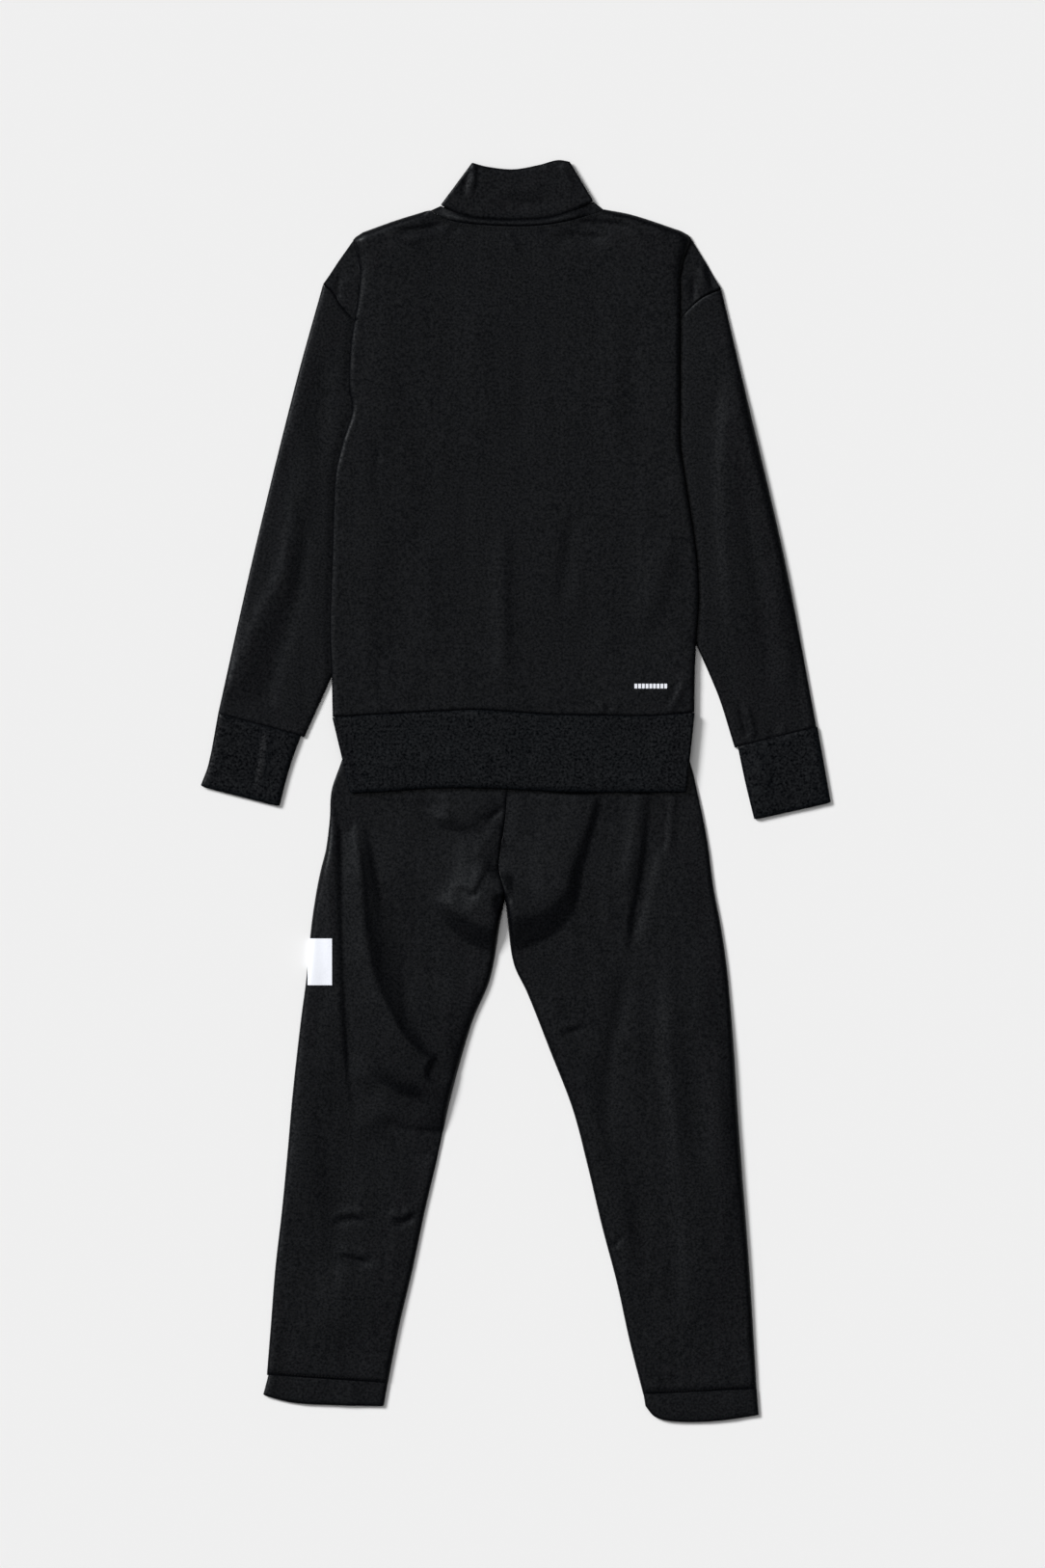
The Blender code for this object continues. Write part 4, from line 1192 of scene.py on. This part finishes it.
def makeLegHem(side, material):
    settings, shape = legs[side], legHem
    seam, end = [np.array(spot, float) for spot in settings["seam"]], settings["end"]
    ends = np.array(sorted(end), float)
    long = lineLength(seam[1], end[-1])
    rows = spacing(long, shape["step"], fine=(0.0, 0.4, 1.0, 2.0))
    across = spacing(shape["wide"], shape["step"], fine=cloth["tubeFine"])
    grid = []
    for share in rows:
        lift = np.array([0, 0.1 * (1 - share)])  # closes the seam
        a = mix(seam[0], np.array(end[0]), share) + lift
        b = mix(seam[1], np.array(end[-1]), share) + lift
        ring = tubeRing(a, b, across, cloth["knit"], shape)
        run = b - a
        t = np.clip(((ring[:, :2] - a) @ run) / (run @ run), 0, 1)
        ring[:, 1] += share * (lineY(ends, ring[:, 0]) - mix(end[0][1], end[-1][1], t))
        grid.append(ring)
    grid = np.array(grid)
    top = grid[:, :len(across)]
    roll = seamDip(rows * long, *shape["seamDip"]) + endDip((1 - rows) * long, *shape["endDip"])
    wave = drift(top[..., 0], top[..., 1], *shape["drift"])
    top[..., 2] += edgeShare(len(across)) * (wave - roll[:, None])
    piece = makeShell(f"legHem_{side}", grid, cloth["knit"], material, f"leg_hem_{side}", ring=True)


legTricot = {"left": leftLegTricot, "right": rightLegTricot}
legBacks = {}
for side, material in legTricot.items():
    legBacks[side] = makeLegBack(side, material)
    makeLegHem(side, material)
print("trouser backs and leg hems made")

# Stitches

stitches = {
    "length": 2.2,
    "width": 0.75,
    "spacing": 2.9,
    "colour": (0.003, 0.003, 0.0035),
    "specular": 0.12,
    "patches": 2500.0,  # of the thread's twist, per metre
    "detail": 2.0,
    "roughness": (0.5, 0.8),
    "rings": ((0.0, 0.2), (0.3, 0.5), (0.7, 0.5), (1.0, 0.2)),  # share of the length and of the width
    "above": 0.15,
}


def makeStitches(name, line, heightAt, material):
    # a row of small thread loops along a line, each a tapered bar that lies on the cloth
    length = float(np.sum(np.hypot(*np.diff(alongLine(line, np.linspace(0, 1, 200)), axis=0).T)))
    count = int(length / stitches["spacing"])
    corners, last = 6, len(stitches["rings"]) - 1
    points, faces = [], []
    for k in range(count):
        middle = (k + 0.5) / count
        half = stitches["length"] / 2 / length
        a, b = alongLine(line, middle - half), alongLine(line, middle + half)
        run = (b - a) / lineLength(a, b)
        side = np.array([-run[1], run[0]])
        z = heightAt(*mix(a, b, 0.5)) + stitches["above"]
        first = len(points)
        for share, width in stitches["rings"]:
            centre = mix(a, b, share)
            for turn in range(corners):
                angle = turn * math.pi / 3
                x, y = centre + side * math.cos(angle) * width * stitches["width"]
                up = math.sin(angle) * width * stitches["width"] * 0.8
                points.append((x * mm, y * mm, (z + up) * mm))
        for ring in range(last):
            low, high = first + ring * corners, first + (ring + 1) * corners
            for turn in range(corners):
                nextTurn = (turn + 1) % corners
                faces.append((low + turn, low + nextTurn, high + nextTurn, high + turn))
        faces.append(tuple(first + turn for turn in reversed(range(corners))))
        faces.append(tuple(first + last * corners + turn for turn in range(corners)))
    mesh = bpy.data.meshes.new(name)
    mesh.from_pydata(points, [], faces)
    mesh.shade_smooth()
    piece = addPiece(name, mesh, material)


thread = makeHard("thread", stitches)
neckStitchLine = [(-80, 567.5), (-67, 560.5), (-48, 556.5), (-12, 554), (22, 554.5), (52, 559), (83, 568)]
makeStitches("neckStitches", neckStitchLine, surfaceOf(jacketBackPiece, neckBandPiece), thread)
hemStitchLines = {
    "left": [(-242, -571), (-213, -575), (-180, -577), (-127, -578.5)],
    "right": [(235, -583), (190, -589), (153, -591), (127, -589)],
}
for side, line in hemStitchLines.items():
    makeStitches(f"legStitches_{side}", line, surfaceOf(legBacks[side]), thread)
print("stitches made")

# Hidden pieces: thin sheets of the solids' own form, divided finely and creased like the side that shows

hiddenSheets = {
    "jacket_front_left": {
        "step": 5.0,
        "flat": (0.20, 0.50),
        "area": 0.070,
        "rests": ["sleeve_left"],
        "folds": [
            fold(0.6, 8, 12, (-60, 490), (-67, 390), (-58, 300)),
            fold(0.5, 10, 8, (-118, 290), (-108, 215), (-116, 145)),
            fold(0.6, 9, 9, (-38, 260), (-46, 170), (-40, 105)),
            fold(0.4, 6, 9, (-140, 200), (-96, 172), (-52, 168)),
        ],
    },
    "jacket_front_right": {
        "step": 5.0,
        "flat": (0.20, 0.50),
        "area": 0.072,
        "rests": ["sleeve_right"],
        "folds": [
            fold(0.6, 11, 9, (54, 470), (62, 380), (72, 290)),
            fold(0.5, 8, 10, (122, 310), (114, 240), (120, 170)),
            fold(0.5, 9, 12, (34, 230), (44, 150), (38, 95)),
            fold(0.4, 7, 7, (146, 225), (108, 205), (66, 214)),
        ],
    },
    "waistband": {
        "step": 5.0,
        "flat": (0.556, 0.034),
        "area": None,
        "rests": ["floor"],
        "folds": gathers([(-128, 103), (0, 103), (128, 103)], 34, 20, 0.35, 3.2, 5),
    },
}


def divideFinely(mesh, longest):
    # splits edges until none is longer than the given length
    form = bmesh.new()
    form.from_mesh(mesh)
    bmesh.ops.remove_doubles(form, verts=form.verts[:], dist=0.001 * mm)
    for _ in range(12):
        longEdges = [edge for edge in form.edges if edge.calc_length() > longest * mm]
        if not longEdges:
            break
        bmesh.ops.subdivide_edges(form, edges=longEdges, cuts=1)
        bmesh.ops.triangulate(form, faces=form.faces[:])
    form.to_mesh(mesh)
    form.free()


def makeHiddenSheet(node, material):
    settings = hiddenSheets[node]
    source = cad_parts[node]
    mesh = source.data.copy()
    mesh.transform(source.matrix_world)
    divideFinely(mesh, settings["step"])
    spots = np.empty(len(mesh.vertices) * 3)
    mesh.vertices.foreach_get("co", spots)
    spots = spots.reshape(-1, 3)
    spots[:, 2] += foldHeight(settings["folds"], spots[:, 0] / mm, spots[:, 1] / mm) * mm
    mesh.vertices.foreach_set("co", spots.ravel())
    mesh.shade_smooth()
    mesh.set_sharp_from_angle(angle=math.radians(35))
    mesh.materials.clear()
    piece = addPiece(f"{node}_cloth", mesh, material)
    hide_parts(node)


frontTricot = makeCloth("frontTricot", tricotFinish)  # the fronts carry no print
for node in hiddenSheets:
    makeHiddenSheet(node, frontTricot)

legFronts = {
    "left": [
        fold(0.6, 10, 14, (-64, -30), (-92, -92), (-128, -170)),
        fold(0.5, 9, 9, (-150, -240), (-162, -330), (-168, -420)),
        fold(0.5, 7, 10, (-186, -424), (-160, -434), (-136, -428)),
        fold(0.4, 10, 10, (-188, -480), (-172, -550)),
    ],
    "right": [
        fold(0.6, 12, 10, (52, -24), (84, -96), (118, -160)),
        fold(0.5, 9, 11, (130, -230), (140, -320), (152, -410)),
        fold(0.5, 9, 7, (166, -436), (142, -446), (124, -440)),
        fold(0.4, 8, 12, (186, -470), (178, -545)),
    ],
}


def makeLegFront(side, material):
    # the lower layer of a leg, flat on the floor but for its creases
    seat = np.linspace(trousers["top"], trousers["crotch"], 60)[:-1]
    outer, inner, width, run = legOutline(side, seat, np.linspace(0, 1, 130))
    parted = ease((trousers["seatEnd"] - inner[:, 1:]) / 40)
    start = outer + run * trousers["frontInset"]
    end = inner - run * mix(cloth["seam"] / 2, trousers["frontInset"], parted)
    across = np.linspace(0, 1, 40)
    spots = mix(start[:, None, :], end[:, None, :], across[None, :, None])
    x, y = spots[..., 0], spots[..., 1]
    fromEdge = np.minimum(across, 1 - across)[None, :] * width[:, None]
    z = foldHeight(legFronts[side], x, y) * ease((fromEdge - 3) / 12)
    grid = np.stack([x, y, z], axis=-1)
    if side == "right":
        grid = grid[:, ::-1]
    piece = makeShell(f"legFront_{side}", grid, cloth["knit"], material, f"trouser_front_{side}")


for side, material in legTricot.items():
    makeLegFront(side, material)

tapeFinish = dict(tricotFinish, roughness=0.75, grainScale=1600.0, streak=0.0)
sliderFinish = {
    "colour": (0.012, 0.012, 0.012),
    "specular": 0.5,
    "patches": 700.0,
    "detail": 3.0,
    "roughness": (0.25, 0.45),
}
sliderPaint = makeHard("sliderPaint", sliderFinish)
for node, material in (("front_zip", makeCloth("zipTape", tapeFinish)), ("zip_slider", sliderPaint)):
    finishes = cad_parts[node].data.materials
    finishes.clear()
    finishes.append(material)

zipTeeth = {
    "low": 8.0,  # y of the lowest and the highest tooth
    "high": 526.0,
    "pitch": 1.4,
    "long": 3.0,  # across the zip
    "thick": 0.9,
    "tall": 1.0,
    "tapeUnder": 1.9,  # underside of the tape where the fronts lie on the floor
    "rise": (157, 38),  # where the tape comes down off the trousers, and over what length
    "apart": 0.9,  # a row's middle from the centre front
    "head": 0.6,  # width of a tooth's head, as a share of its foot
    "tip": 0.75,
}


def makeZipTeeth():
    # two rows of teeth between the fronts' edges, below the tape and shut as far as the slider
    settings = zipTeeth
    long, thick, pitch = settings["long"], settings["thick"], settings["pitch"]
    off, over = settings["rise"]
    points, faces = [], []
    for k in range(2 * int((settings["high"] - settings["low"]) / pitch)):
        sign = 1 if k % 2 else -1
        y = settings["low"] + pitch * k / 2
        lift = cloth["over"] * (1 - ease((y - off) / over))
        top = lift + settings["tapeUnder"] - 0.05
        first = len(points)
        for z, size in ((top - settings["tall"], settings["tip"]), (top, 1.0)):
            for across, up in ((-0.5, -0.5), (0.5, -0.5), (0.5, 0.5), (-0.5, 0.5)):
                narrow = settings["head"] if across * sign < 0 else 1.0
                x = sign * settings["apart"] + across * long * size
                points.append((x * mm, (y + up * thick * size * narrow) * mm, z * mm))
        for face in ((3, 2, 1, 0), (4, 5, 6, 7), (0, 1, 5, 4), (1, 2, 6, 5), (2, 3, 7, 6), (3, 0, 4, 7)):
            faces.append([first + spot for spot in face])
    mesh = bpy.data.meshes.new("zipTeeth")
    mesh.from_pydata(points, [], faces)
    piece = addPiece("zipTeeth", mesh, sliderPaint)


makeZipTeeth()
print("hidden pieces finished")

# Floor, light and camera

studio = {
    "floorColour": (0.83, 0.83, 0.83),
    "keyTurn": 146.0,  # degrees from +x to where the key light stands, anticlockwise
    "keyRise": 38.0,  # degrees above the floor
    "keySoftness": 20.0,
    "keyStrength": 3.5,
    "boxRise": 76.0,  # the soft box hangs nearly overhead, on the key's side
    "boxInner": 8.0,  # degrees from its middle where it is full, and where it has faded out
    "boxOuter": 44.0,
    "roomLight": 0.10,
    "boxLight": 1.1,
    "sensor": 36.0,  # millimetres, from the picture's bottom to its top
    "cameraHeight": 14.0,
    "frameHeight": 1.5447,  # metres of floor from the bottom to the top of the picture
    "centre": (0.00665, 0.0071),
}


def makeFloor():
    bpy.ops.mesh.primitive_plane_add(size=12, location=(0, 0, -0.0003))
    floor = bpy.context.object
    floor.name = "floor"
    material, _, shader = newMaterial("floorPaper")
    setInputs(shader, {
        "Base Color": (*studio["floorColour"], 1.0),
        "Roughness": 1.0,
        "Specular IOR Level": 0.0,
    })
    floor.data.materials.append(material)


def direction(turn, rise):
    turn, rise = math.radians(turn), math.radians(rise)
    return math.cos(turn) * math.cos(rise), math.sin(turn) * math.cos(rise), math.sin(rise)


def makeLights():
    light = bpy.data.lights.new("key", "SUN")
    light.energy = studio["keyStrength"]
    light.angle = math.radians(studio["keySoftness"])
    key = bpy.data.objects.new("key", light)
    toward = Vector(direction(studio["keyTurn"], studio["keyRise"]))
    key.rotation_euler = toward.to_track_quat("Z", "Y").to_euler()
    bpy.context.scene.collection.objects.link(key)

    # a broad soft box overhead in a dim room
    world = bpy.data.worlds.new("studio")
    bpy.context.scene.world = world
    world.use_nodes = True
    tree = world.node_tree
    background = tree.nodes["Background"]
    coordinates = tree.nodes.new("ShaderNodeTexCoord")
    facing = tree.nodes.new("ShaderNodeVectorMath")
    facing.operation = "DOT_PRODUCT"
    tree.links.new(coordinates.outputs["Generated"], facing.inputs[0])
    facing.inputs[1].default_value = direction(studio["keyTurn"], studio["boxRise"])
    ramp = tree.nodes.new("ShaderNodeMapRange")
    ramp.interpolation_type = "SMOOTHSTEP"
    tree.links.new(facing.outputs["Value"], ramp.inputs["Value"])
    setInputs(ramp, {
        "From Min": math.cos(math.radians(studio["boxOuter"])),
        "From Max": math.cos(math.radians(studio["boxInner"])),
        "To Min": studio["roomLight"],
        "To Max": studio["boxLight"],
    })
    tree.links.new(ramp.outputs[0], background.inputs["Strength"])
    background.inputs["Color"].default_value = (1.0, 1.0, 1.0, 1.0)


def makeCamera():
    data = bpy.data.cameras.new("camera")
    data.sensor_fit = "VERTICAL"
    data.sensor_height = studio["sensor"]
    data.lens = studio["sensor"] * studio["cameraHeight"] / studio["frameHeight"]
    camera = bpy.data.objects.new("camera", data)
    camera.location = (*studio["centre"], studio["cameraHeight"])
    bpy.context.scene.collection.objects.link(camera)
    bpy.context.scene.camera = camera


makeFloor()
makeLights()
makeCamera()
bpy.context.scene.view_settings.view_transform = "Standard"
print("floor, light and camera made")
